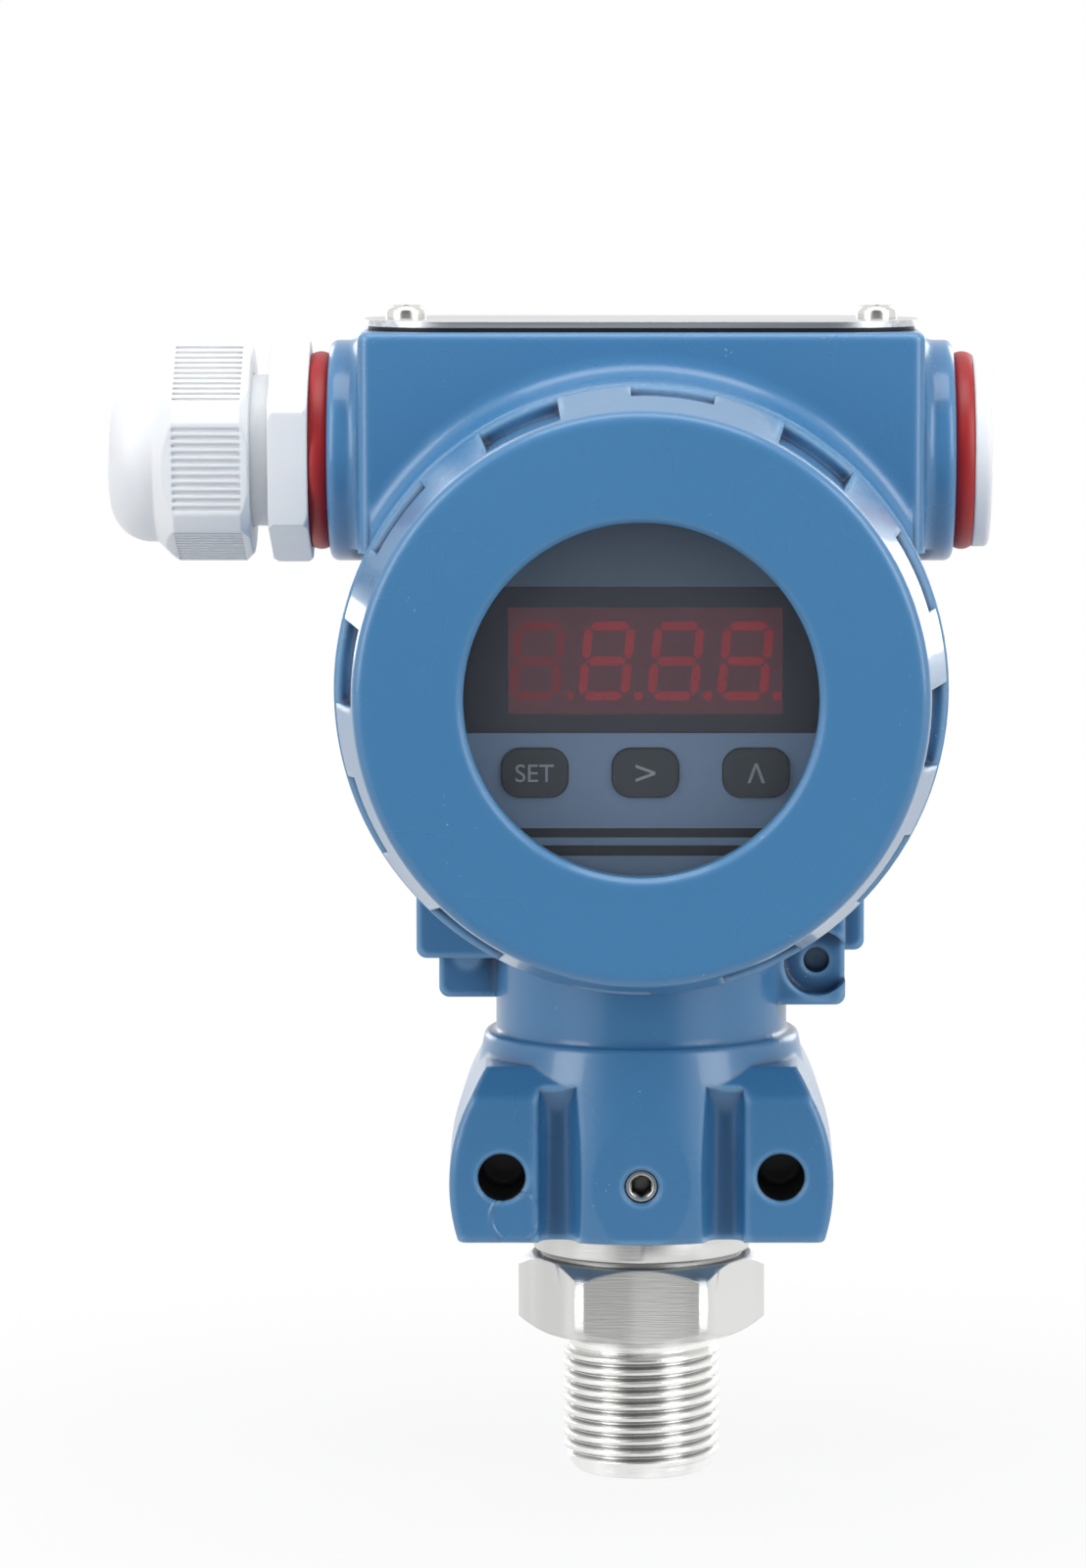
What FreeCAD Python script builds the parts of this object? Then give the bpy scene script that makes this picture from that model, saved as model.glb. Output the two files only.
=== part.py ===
# Pressure transmitter with a cast housing, a windowed screw cover in front, a blind one at the back,
# a numeric display with three keys, a cable gland, a blanking plug and a threaded process connection.
# Millimetres. +Z is up, the window faces -Y and the cable gland points to -X. The origin is the mouth
# of the pressure port, at the lower end of the process thread, on that thread's axis.
import FreeCAD
import Part
import math
import os

V = FreeCAD.Vector
os.makedirs("parts", exist_ok=True)

X, Y, Z = V(1, 0, 0), V(0, 1, 0), V(0, 0, 1)

# ---- Clearances -------------------------------------------------------------------------------
thread_gap = 0.12        # radial room between a male thread and its hole, both drawn smooth
seat_gap = 0.05          # room between two pieces that are tightened against each other
slide_gap = 0.4          # radial room between a cover's male thread and the housing
free_gap = 0.2           # radial room round a screw that passes through a plate
beyond = 1.0             # how far a cutting shape runs past the surface it opens

# ---- Process connection, turned from hexagon bar ----------------------------------------------
thread_r = 10.0          # M20 x 1.5 male thread
thread_length = 18.3     # from the end face to the hexagon
thread_tip_r = 9.15      # plain lead-in below the first turn
thread_tip_length = 1.3
thread_tip_chamfer = 0.6
relief_r = 9.3           # runout groove under the hexagon
relief_length = 2.0
hex_flats = 28.0         # across the flats
hex_corner_r = 15.8      # the corners are turned down to this
hex_height = 9.7
hex_top_bevel = 1.6
hex_bottom_bevel = 0.2
collar_neck_r = 12.9
collar_neck_height = 0.7
collar_r = 13.9
collar_height = 3.9
spigot_r = 12.6          # threads into the housing
spigot_height = 17.0
port_r = 2.0
cell_r = 9.6             # pressure cell
cell_height = 7.0
cell_rim_height = 5.5    # up to the step that the clamping ring sits on
cell_seat_depth = 10.0   # from the spigot's top down to the seat of the cell's seal
cell_seal_wire_r = 0.6
cell_seal_inset = 1.6
cell_ring_height = 2.0
cell_ring_bore_r = 6.5
cell_ring_gap = 0.3
pin_count = 4
pin_r = 0.45
pin_length = 5.0
pin_circle_r = 3.6

# ---- Housing: one aluminium casting -----------------------------------------------------------
# Heights of the lower body are counted from its underside, where the collar seats.
cover_axis_up = 70.9     # axis of the drum and both covers, along Y
drum_r = 37.6
drum_half_length = 33.6
drum_rim_round = 0.9
cove_r = 2.8             # hollow round between the drum and the flat front of the block
drum_wall = 3.5          # at the female threads that the covers screw into
cover_bore_length = 11.0
chamber_step = 3.2       # the chambers are this much narrower than the threads
partition_front = -13.5  # front face of the wall between the two chambers
partition_thickness = 3.0
feed_hole_r = 3.0
feed_hole_up = 18.5      # above the cover's axis
board_pad_height = 3.4

block_above_drum = 5.4
block_height = 27.5
block_half_depth = 16.0
block_side_round = 1.6
block_top_round = 0.9

entry_down = 15.4        # axis of the cable gland and the plug, below the top of the block
entry_past_drum = 1.8    # the entries' faces stand this far out beyond the drum
entry_boss_length = 4.0
entry_boss_r = 14.0
entry_boss_round = 1.1
entry_cove_r = 1.5       # hollow round between a boss and the side of the block
entry_thread_r = 9.95    # M20 x 1.5 male thread of the gland and the plug
entry_bore_depth = 12.0
entry_passage_r = 8.3
entry_passage_inner_x = 11.0

neck_r = 18.6
ledge_r = 20.0           # small ledge where the lower body meets the neck
ledge_up = 24.4
ledge_round_share = 0.58   # rounds of the ledge and of its root, as shares of its width
ledge_root_share = 0.36
bulb_foot_r = 22.0
bulb_foot_round = 0.7
bulb_belly_r = 23.2      # where the two sides of the bulging outline would meet
bulb_belly_up = 8.4
bulb_belly_round = 40.0
front_panel_y = 21.8     # flat panel that takes the locking screw, and its twin at the back

lug_centre_up = 7.4      # height where the lugs are broadest
lug_outline_r = 24.5     # round outline of the mounting lugs at the middle of the casting
lug_draft = 0.4          # the outline's radius shrinks by this much to the lug faces
lug_foot_round = 2.2
lug_face_y = 20.5
lug_face_break = 0.9
lug_top_up = 18.4
lug_top_round = 1.6
lug_shoulder_up = 21.7
lug_shoulder_y = 15.5
lug_inner_x = 13.0
groove_floor_y = 17.3    # rounded channels between the panel and the lugs
groove_inner_x = 8.7
groove_bank = 1.3        # the channel's inner bank leans by this much
groove_lip = 0.4         # and its outer bank by this much
groove_floor_round = 1.7
groove_lip_round = 0.9
groove_top_up = 20.6      # the channels run out above the lugs in a hollow round
groove_top_round = 4.6
mount_hole_r = 2.9
mount_hole_spacing = 35.0
mount_hole_up = 8.4
mount_hole_depth = 11.5
mount_hole_break = 0.4

wide_boss_x = 28.5       # stepped bosses below the drum, beside the neck
wide_boss_down = 36.4    # underside, below the cover's axis
wide_boss_depth = 8.0
earth_boss_x = 25.9
earth_boss_down = 42.5
earth_boss_depth = 7.0
boss_round = 1.3
earth_recess_x = 22.3
earth_recess_down = 37.2
earth_recess_r = 4.2
earth_recess_depth = 3.0
earth_hole_r = 1.65
earth_hole_depth = 3.5

sensor_passage_r = 6.0
sensor_room = 4.0        # height left above the pins of the pressure cell

# ---- Screw covers -----------------------------------------------------------------------------
cover_gap = 0.6          # open joint between the drum's rim and a cover's flange
cover_rim_inset = 0.4    # the castellated flange is this much smaller than the drum
cover_taper = 2.7        # the flange narrows by this much to the edge of the cover's face
cover_flange_depth = 13.8
cover_rim_thickness = 1.4
cover_edge_round = 1.3
cover_skirt_length = 9.6
cover_skirt_wall = 3.3
cover_skirt_round = 0.6
cover_seal_groove_depth = 1.8
cover_seal_groove_length = 2.3
cover_seal_wire_r = 0.95
deep_notch_front = 2.4   # depth below the flange, at the face
deep_notch_rear = 1.9    # and at the rim
shallow_notch = 1.0
notch_angle = 16.0       # degrees
notch_count = 6          # of each kind
deep_notch_phase = -24.0 # degrees from the top, clockwise seen from the front
rear_cover_wall = 4.0
rear_cover_inner_round = 2.0
rear_cover_depth_cut = 3.0   # the blind cover is this much shallower than the windowed one

glass_pocket_wall = 3.8  # step from the skirt's bore to the pocket of the glass
glass_gap = 0.3
glass_edge = 0.4
window_lip_width = 4.9   # how far the cover's lip reaches over the glass
window_lip_depth = 3.0
window_lip_bevel = 0.6
glass_thickness = 5.0
gasket_thickness = 0.5
ring_bore_step = 1.0     # the clamping ring's bore is this much wider than the window
ring_thickness = 3.0
ring_slot_width = 3.0
ring_slot_depth = 1.4

# ---- Display ----------------------------------------------------------------------------------
display_x = 0.5          # the display sits a little right of the cover's axis
panel_air_gap = 0.95     # between the clamping ring and the display's face
panel_room = 2.9         # radial room between the panel and the cover's skirt
panel_edge_round = 0.4
panel_plate = 1.5
panel_wall = 1.5
panel_height = 6.4       # room between the plate and the board
filter_width = 47.0
filter_height = 17.8
filter_thickness = 0.8
filter_margin = 0.6
filter_up = 3.9          # height of its middle above the cover's axis
led_width = 33.5
led_height = 13.0
led_depth = 6.6
led_up = 3.7
digit_width = 6.2
digit_height = 9.6
digit_pitch = 8.45
digit_count = 4
digit_shift = 0.5        # the row of digits stands this much left, to leave room for the last point
digit_lean = 0.1         # sideways shift per unit of height
segment_width = 1.05
segment_gap = 0.22
segment_relief = 0.12
point_r = 0.55
point_offset = 0.75
key_width = 8.0
key_height = 5.9
key_pitch = 13.5
key_up = -9.9
key_side_round = 2.2
key_proud = 0.6
key_travel = 0.8
key_flange = 0.9
key_rim = 0.8
key_stem_r = 1.45
key_hole_gap = 0.15
board_room = 2.0         # radial room between the display board and the cover's skirt
board_thickness = 1.6
switch_size = 6.0
switch_height = 3.5
plunger_r = 1.6
plunger_height = 1.0
plunger_gap = 0.1
standoff_count = 3
standoff_inset = 5.1     # from the edge of the display board
standoff_flats = 5.0
signal_board_room = 2.9  # radial room between the signal board and the chamber
signal_board_relief = 3.75   # radius of the holes that let the standoffs through
signal_screw_circle_r = 17.0
signal_screw_count = 4
small_screw_r = 1.5
small_head_r = 2.6
display_head_r = 2.2
small_head_height = 1.7
small_screw_length = 6.0
hole_spare = 0.5         # a blind hole is this much deeper than its screw reaches

# ---- Terminals in the rear chamber --------------------------------------------------------------
terminal_width = 34.0
terminal_height = 15.0
terminal_depth = 12.0
terminal_corner_r = 1.0
terminal_up = -6.0
terminal_count = 3
terminal_pitch = 9.0
terminal_well_width = 7.4
terminal_well_depth = 6.0
terminal_head_r = 3.0
terminal_head_height = 2.4
terminal_screw_reach = 3.5
clamp_gap = 0.3
clamp_thickness = 0.8
terminal_fixing_x = 20.5
terminal_ear_thickness = 3.0
terminal_ear_r = 3.6

# ---- Nameplate ----------------------------------------------------------------------------------
plate_end_inset = 0.4    # from the ends of the block
plate_side_inset = 2.4   # from its front and back
plate_corner_r = 11.0
plate_thickness = 0.8
plate_gasket_thickness = 0.5
plate_gasket_inset = 0.5
plate_screw_inset = 5.2
plate_screw_length = 4.8

# ---- Locking screw ------------------------------------------------------------------------------
lock_screw_r = 2.0
lock_screw_up = 7.4
lock_screw_sunk = 0.7
lock_screw_point = 0.8
lock_socket_flats = 2.4
lock_socket_mouth_r = 1.5
lock_socket_depth = 3.0
lock_hole_depth = 12.0
lock_hole_break = 0.35

# ---- Cable gland and plug -----------------------------------------------------------------------
washer_thickness = 2.4
washer_r = 12.2
washer_bulge = 0.35
gland_hex_flats = 25.0
gland_hex_thickness = 5.0
gland_hex_bevel = 0.6
gland_hex_turn = 8.0     # degrees that the hexagons are turned about the gland's axis
gland_bore_r = 7.6
gland_neck_r = 9.6       # male thread for the dome nut
gland_neck_length = 11.5
gland_shank_length = 10.0
shank_end_bevel = 0.8
nut_gap = 2.4            # bare thread that shows between the hexagon and the nut
nut_flats = 25.6
nut_grip_length = 12.1
nut_length = 18.1
nut_corner_cut = 0.7     # the nut's corners are turned down by this much
nut_dome_r = 11.6
nut_dome_round = 5.2
nut_mouth_r = 7.0
nut_mouth_length = 1.2
nut_chamfer = 1.0
nut_shoulder = 2.6       # length over which the flats run out into the dome
rib_count = 11
rib_pitch = 1.0
rib_gap = 0.45
rib_depth = 0.3
rib_end = 1.0
seal_bore_r = 4.5
seal_length = 8.4
seal_rim_r = 8.9
seal_rim_length = 2.0
seal_gap = 0.1
plug_disc_r = 12.2
plug_disc_thickness = 2.2
plug_disc_round = 0.7
plug_bore_r = 7.0
plug_web = 2.0           # wall left behind the disc
plug_slot_width = 2.6
plug_slot_depth = 1.2
plug_slot_half = 7.6

# ---- Sizes that follow from the ones above ------------------------------------------------------
hex_bottom_z = thread_length
hex_top_z = hex_bottom_z + hex_height
collar_bottom_z = hex_top_z + collar_neck_height
bulb_bottom_z = collar_bottom_z + collar_height
spigot_top_z = bulb_bottom_z + spigot_height
sensor_bore_r = spigot_r + thread_gap
cell_seat_z = spigot_top_z - cell_seat_depth
cell_bottom_z = cell_seat_z + 2 * cell_seal_wire_r
ledge_z = bulb_bottom_z + ledge_up
lug_centre_z = bulb_bottom_z + lug_centre_up
mount_hole_z = bulb_bottom_z + mount_hole_up
lock_screw_z = bulb_bottom_z + lock_screw_up
cover_axis_z = bulb_bottom_z + cover_axis_up
boss_root_z = cover_axis_z - drum_r / 2
block_top_z = cover_axis_z + drum_r + block_above_drum
block_bottom_z = block_top_z - block_height
entry_axis_z = block_top_z - entry_down
entry_face_x = drum_r + entry_past_drum
block_half_width = entry_face_x - entry_boss_length
plate_half_length = block_half_width - plate_end_inset
plate_half_width = block_half_depth - plate_side_inset
plate_screw_x = plate_half_length - plate_screw_inset

cover_bore_r = drum_r - drum_wall
chamber_r = cover_bore_r - chamber_step
cover_rim_r = drum_r - cover_rim_inset
cover_face_r = cover_rim_r - cover_taper
cover_skirt_r = cover_bore_r - slide_gap
cover_skirt_bore_r = cover_skirt_r - cover_skirt_wall
cover_seal_groove_r = cover_skirt_r - cover_seal_groove_depth
glass_pocket_r = cover_skirt_bore_r - glass_pocket_wall
glass_r = glass_pocket_r - glass_gap
window_r = glass_r - window_lip_width
panel_r = cover_skirt_bore_r - panel_room
board_r = cover_skirt_bore_r - board_room
standoff_circle_r = board_r - standoff_inset
signal_board_r = chamber_r - signal_board_room

flange_y = -drum_half_length - cover_gap
face_y = flange_y - cover_flange_depth
lip_rear_y = face_y + window_lip_depth
glass_front_y = lip_rear_y + gasket_thickness + 2 * seat_gap
glass_rear_y = glass_front_y + glass_thickness
ring_front_y = glass_rear_y + seat_gap
ring_rear_y = ring_front_y + ring_thickness
panel_front_y = ring_rear_y + panel_air_gap
panel_plate_rear_y = panel_front_y + panel_plate
board_front_y = panel_plate_rear_y + panel_height
board_rear_y = board_front_y + board_thickness
led_front_y = panel_front_y + filter_thickness + seat_gap + segment_relief
plunger_y = board_front_y - switch_height - plunger_height
partition_rear = partition_front + partition_thickness
signal_board_rear_y = partition_front - board_pad_height
signal_board_front_y = signal_board_rear_y - board_thickness
terminal_z = cover_axis_z + terminal_up
terminal_rear_y = partition_rear + terminal_depth
terminal_floor_y = terminal_rear_y - terminal_well_depth

washer_x = entry_face_x + washer_thickness
gland_hex_x = washer_x + gland_hex_thickness
gland_neck_x = gland_hex_x + gland_neck_length
shank_end_x = entry_face_x - gland_shank_length
nut_x = gland_hex_x + nut_gap
nut_end_x = nut_x + nut_length
seal_front_x = gland_neck_x - seal_length + seal_rim_length + seat_gap


# ---- Helpers ------------------------------------------------------------------------------------
def rounded_outline(corners, place):
    """Face inside the polygon of (u, v, radius) corners, each rounded by its radius.

    place turns a (u, v) pair into a point in space.
    """
    flat = [V(u, v, 0) for u, v, radius in corners]
    starts, middles, ends = [], [], []
    for i, (u, v, radius) in enumerate(corners):
        here = flat[i]
        back = (flat[i - 1] - here).normalize()
        ahead = (flat[(i + 1) % len(flat)] - here).normalize()
        half = back.getAngle(ahead) / 2
        reach = radius / math.tan(half) if radius else 0.0
        inward = (back + ahead).normalize() if radius else V(0, 0, 0)
        starts.append(here + back * reach)
        ends.append(here + ahead * reach)
        middles.append(here + inward * (radius / math.sin(half) - radius if radius else 0.0))
    edges = []
    for i, (u, v, radius) in enumerate(corners):
        start, middle, end = [place(p.x, p.y) for p in (starts[i], middles[i], ends[i])]
        if radius:
            edges.append(Part.Arc(start, middle, end).toShape())
        following = place(*starts[(i + 1) % len(corners)][:2])
        if end.distanceToPoint(following) > 1e-6:
            edges.append(Part.makeLine(end, following))
    return Part.Face(Part.Wire(edges))


def turned(corners, base, axis, side, start=0.0, sweep=360.0):
    """Solid of revolution from (radius, distance along the axis, rounding) corners."""
    face = rounded_outline(corners, lambda u, v: base + side * u + axis * v)
    if start:
        face.rotate(base, axis, start)
    return face.revolve(base, axis, sweep)


def plate_y(corners, y0, y1, centre=V(0, 0, 0)):
    """Plate between two Y planes from (x, z, rounding) corners about a centre."""
    face = rounded_outline(corners, lambda u, v: V(centre.x + u, y0, centre.z + v))
    return face.extrude(V(0, y1 - y0, 0))


def box(x0, x1, y0, y1, z0, z1):
    return Part.makeBox(x1 - x0, y1 - y0, z1 - z0, V(x0, y0, z0))


def rod(radius, start, end):
    return Part.makeCylinder(radius, (end - start).Length, start, (end - start).normalize())


def rectangle(half_u, half_v, radius=0.0):
    return [(-half_u, -half_v, radius), (half_u, -half_v, radius),
            (half_u, half_v, radius), (-half_u, half_v, radius)]


def hexagon(flats, base, direction, length, turn=0.0):
    """Hexagonal prism with one flat turned by an angle from square to the first normal."""
    across = direction.cross(Z) if abs(direction.z) < 0.9 else X
    up = across.cross(direction)
    corner = flats / math.sqrt(3)
    points = []
    for i in range(7):
        angle = math.radians(60 * i + 30 + turn)
        points.append(base + across * (corner * math.cos(angle)) + up * (corner * math.sin(angle)))
    return Part.Face(Part.makePolygon(points)).extrude(direction * length)


def mirrored_x(shape):
    return shape.mirror(V(0, 0, 0), X)


def mirrored_y(shape):
    return shape.mirror(V(0, 0, 0), Y)


def on_circle(count, radius, phase=90.0):
    """Points round the cover's axis, as (x, z)."""
    turns = [math.radians(phase + 360.0 * i / count) for i in range(count)]
    return [(radius * math.cos(a), cover_axis_z + radius * math.sin(a)) for a in turns]


def pan_head_screw(base, inward, radius, head_r, head_height, length):
    """Pan head screw with a cross recess. base is under the head and inward points along the shank."""
    side = X if abs(inward.x) < 0.9 else Z
    head = turned([(0, 0, 0), (head_r, 0, 0), (head_r, -head_height, head_height * 0.6),
                   (0, -head_height, 0)], base, inward, side)
    screw = head.fuse(rod(radius, base - inward * (head_height / 2), base + inward * length))
    top = base - inward * head_height
    slot_half, slot_long, slot_deep = head_r * 0.12, head_r * 0.62, head_height * 0.55
    other = side.cross(inward)
    for along, wide in ((side, other), (other, side)):
        corners = [top + along * (a * slot_long) + wide * (b * slot_half)
                   for a, b in ((-1, -1), (1, -1), (1, 1), (-1, 1), (-1, -1))]
        screw = screw.cut(Part.Face(Part.makePolygon(corners)).extrude(inward * slot_deep))
    return screw.removeSplitter()


def save(node, shape):
    if isinstance(shape, list):
        shape = Part.makeCompound(shape)
    shape.exportStep("parts/" + node + ".step")


COVER_AXIS = V(0, 0, cover_axis_z)


# ---- Housing ------------------------------------------------------------------------------------
def drum():
    return turned([(0, -drum_half_length, 0), (drum_r, -drum_half_length, drum_rim_round),
                   (drum_r, drum_half_length, drum_rim_round), (0, drum_half_length, 0)],
                  COVER_AXIS, Y, X)


def drum_cove():
    """Hollow round that blends the drum into the flat front and back of the block."""
    root = chamber_r + chamber_step
    y0, y1, y2 = 0.0, block_half_depth, block_half_depth + cove_r
    bend = cove_r * (1 - math.sqrt(0.5))

    def place(r, y):
        return V(r, y, cover_axis_z)
    edges = [Part.makeLine(place(root, y0), place(drum_r + cove_r, y0)),
             Part.makeLine(place(drum_r + cove_r, y0), place(drum_r + cove_r, y1)),
             Part.Arc(place(drum_r + cove_r, y1), place(drum_r + bend, y1 + bend),
                      place(drum_r, y2)).toShape(),
             Part.makeLine(place(drum_r, y2), place(root, y2)),
             Part.makeLine(place(root, y2), place(root, y0))]
    ring = Part.Face(Part.Wire(edges)).revolve(COVER_AXIS, Y, 360)
    rear = ring.common(box(-block_half_width + block_side_round, block_half_width - block_side_round, 0,
                           y2 + beyond, block_bottom_z, block_top_z - block_top_round))
    return [rear, mirrored_y(rear)]


def top_block():
    block = box(-block_half_width, block_half_width, -block_half_depth, block_half_depth,
                block_bottom_z, block_top_z)
    upright = [e for e in block.Edges if abs(e.BoundBox.ZLength - (block_top_z - block_bottom_z)) < 1e-6]
    block = block.makeFillet(block_side_round, upright)
    rim = [e for e in block.Edges if e.BoundBox.ZMin > block_top_z - 1e-6]
    return block.makeFillet(block_top_round, rim)


def entry_bosses():
    return turned([(0, -entry_face_x, 0), (entry_boss_r, -entry_face_x, entry_boss_round),
                   (entry_boss_r, entry_face_x, entry_boss_round), (0, entry_face_x, 0)],
                  V(0, 0, entry_axis_z), X, Z)


def entry_coves():
    """Hollow rounds between the entry bosses and the sides of the block."""
    root, wide = entry_boss_r - beyond, entry_boss_r + entry_cove_r
    x0, x1, x2 = block_half_width - beyond, block_half_width, block_half_width + entry_cove_r
    bend = entry_cove_r * (1 - math.sqrt(0.5))

    def place(r, x):
        return V(x, 0, entry_axis_z + r)
    edges = [Part.makeLine(place(root, x0), place(wide, x0)), Part.makeLine(place(wide, x0), place(wide, x1)),
             Part.Arc(place(wide, x1), place(entry_boss_r + bend, x1 + bend),
                      place(entry_boss_r, x2)).toShape(),
             Part.makeLine(place(entry_boss_r, x2), place(root, x2)),
             Part.makeLine(place(root, x2), place(root, x0))]
    ring = Part.Face(Part.Wire(edges)).revolve(V(0, 0, entry_axis_z), X, 360)
    depth = block_half_depth - block_side_round
    right = ring.common(box(0, entry_face_x, -depth, depth, block_bottom_z, block_top_z - block_top_round))
    return [right, mirrored_x(right)]


def bulb():
    """Lower body with bulging sides, a small ledge under the neck and flat panels front and back."""
    top = boss_root_z
    ledge_width = ledge_r - neck_r
    ball = turned([(0, bulb_bottom_z, 0), (bulb_foot_r, bulb_bottom_z, bulb_foot_round),
                   (bulb_belly_r, bulb_bottom_z + bulb_belly_up, bulb_belly_round),
                   (ledge_r, ledge_z, ledge_width * ledge_round_share),
                   (neck_r, ledge_z, ledge_width * ledge_root_share),
                   (neck_r, top, 0), (0, top, 0)], V(0, 0, 0), Z, X)
    reach = bulb_belly_r + beyond
    return ball.common(box(-reach, reach, -front_panel_y, front_panel_y,
                           bulb_bottom_z - beyond, top + beyond))


def lug_barrel():
    """Body whose outline is the housing's broad lower silhouette, tapered for the mould."""
    end_r = lug_outline_r - lug_draft
    return turned([(0, -lug_face_y, 0), (end_r, -lug_face_y, lug_face_break), (lug_outline_r, 0, 0),
                   (end_r, lug_face_y, lug_face_break), (0, lug_face_y, 0)], V(0, 0, lug_centre_z), Y, X)


def lugs():
    """Four mounting lugs, front and back, on both sides."""
    shoulder_z = bulb_bottom_z + lug_shoulder_up
    top_z = bulb_bottom_z + lug_top_up
    side = [(-lug_face_y, bulb_bottom_z, lug_face_break), (-lug_face_y, top_z, lug_top_round),
            (-lug_shoulder_y, shoulder_z, 0), (lug_shoulder_y, shoulder_z, 0),
            (lug_face_y, top_z, lug_top_round), (lug_face_y, bulb_bottom_z, lug_face_break)]
    face = rounded_outline(side, lambda u, v: V(groove_inner_x, u, v))
    slab = face.extrude(V(lug_outline_r, 0, 0))
    foot_x = math.sqrt(lug_outline_r ** 2 - lug_centre_up ** 2)
    lean = lug_centre_up / foot_x * (shoulder_z - bulb_bottom_z)
    front = [(groove_inner_x - beyond, bulb_bottom_z, 0), (foot_x, bulb_bottom_z, lug_foot_round),
             (foot_x + lean, shoulder_z, 0), (groove_inner_x - beyond, shoulder_z, 0)]
    right = lug_barrel().common(slab).common(plate_y(front, -lug_face_y - beyond, lug_face_y + beyond))
    return [right, mirrored_x(right)]


def lug_grooves():
    """Rounded upright channels between the flat panels and the lugs."""
    outside = -lug_face_y - beyond
    outline = [(groove_inner_x - groove_bank, outside, 0),
               (groove_inner_x, -groove_floor_y, groove_floor_round),
               (lug_inner_x - groove_lip, -groove_floor_y, groove_floor_round),
               (lug_inner_x, -lug_face_y, groove_lip_round), (lug_inner_x + beyond, -lug_face_y, 0),
               (lug_inner_x + beyond, outside, 0)]
    foot_z, top_z = bulb_bottom_z - beyond, bulb_bottom_z + groove_top_up
    face = rounded_outline(outline, lambda u, v: V(u, v, foot_z))
    upright = face.extrude(V(0, 0, top_z - foot_z))
    run_out = rounded_outline([(outside, foot_z, 0), (-groove_floor_y, foot_z, 0),
                               (-groove_floor_y, top_z, groove_top_round), (outside, top_z, 0)],
                              lambda u, v: V(0, u, v))
    right = upright.common(run_out.extrude(V(lug_inner_x + 2 * beyond, 0, 0)))
    left = mirrored_x(right)
    return [right, left, mirrored_y(right), mirrored_y(left)]


def side_bosses():
    """Stepped bosses beside the neck: the wide one and the earth boss change sides at the back."""
    inner = neck_r / 2

    def stepped(outer, down, y0, y1):
        low = cover_axis_z - down
        return plate_y([(inner, low, 0), (outer, low, boss_round), (outer, boss_root_z, 0),
                        (inner, boss_root_z, 0)], y0, y1)
    pair = [stepped(wide_boss_x, wide_boss_down, 0, wide_boss_depth),
            stepped(earth_boss_x, earth_boss_down, -earth_boss_depth, 0)]
    half_turn = [shape.copy() for shape in pair]
    for shape in half_turn:
        shape.rotate(V(0, 0, 0), Z, 180)
    return pair + half_turn


def earth_recesses():
    """Round recess with a threaded hole for the outer earth screw, in each earth boss."""
    mouth = V(earth_recess_x, -earth_boss_depth, cover_axis_z - earth_recess_down)
    recess = rod(earth_recess_r, mouth - Y * beyond, mouth + Y * earth_recess_depth)
    hole = rod(earth_hole_r, mouth, mouth + Y * (earth_recess_depth + earth_hole_depth))
    front = recess.fuse(hole)
    rear = front.copy()
    rear.rotate(V(0, 0, 0), Z, 180)
    return [front, rear]


def threaded_hole(radius, depth, edge_break, mouth):
    """Cutting shape of a blind hole along +Y with a countersunk mouth."""
    return turned([(0, -beyond, 0), (radius + edge_break + beyond, -beyond, 0), (radius, edge_break, 0),
                   (radius, depth, 0), (0, depth, 0)], mouth, Y, X)


def mount_holes():
    holes = []
    for x in (-mount_hole_spacing / 2, mount_hole_spacing / 2):
        mouth = V(x, -lug_face_y, mount_hole_z)
        hole = threaded_hole(mount_hole_r, mount_hole_depth, mount_hole_break, mouth)
        holes += [hole, mirrored_y(hole)]
    return holes


def chambers():
    """Electronics chamber in front, terminal chamber behind, and what joins them to the outside."""
    def along_y(radius, y0, y1, up=0.0):
        return rod(radius, V(0, y0, cover_axis_z + up), V(0, y1, cover_axis_z + up))
    rim = drum_half_length + beyond
    thread_end = drum_half_length - cover_bore_length
    cuts = [along_y(chamber_r, -rim, partition_front), along_y(chamber_r, partition_rear, rim),
            along_y(cover_bore_r, -rim, -thread_end), along_y(cover_bore_r, thread_end, rim),
            along_y(feed_hole_r, partition_front - beyond, partition_rear + beyond, feed_hole_up)]
    bore_end = entry_face_x - entry_bore_depth
    for side in (-1, 1):
        inner = V(side * entry_passage_inner_x, 0, entry_axis_z)
        middle = V(side * bore_end, 0, entry_axis_z)
        outer = V(side * (entry_face_x + beyond), 0, entry_axis_z)
        cuts += [rod(entry_passage_r, inner, middle), rod(entry_thread_r + thread_gap, middle, outer)]
    sensor_top = spigot_top_z + pin_length + sensor_room
    cuts.append(rod(sensor_bore_r, V(0, 0, bulb_bottom_z - beyond), V(0, 0, sensor_top)))
    cuts.append(rod(sensor_passage_r, V(0, 0, spigot_top_z), V(0, 0, boss_root_z)))
    return cuts


def board_pads():
    return [rod(small_screw_r * 2, V(x, signal_board_rear_y, z), V(x, partition_front + beyond, z))
            for x, z in on_circle(signal_screw_count, signal_screw_circle_r, 45)]


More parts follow.
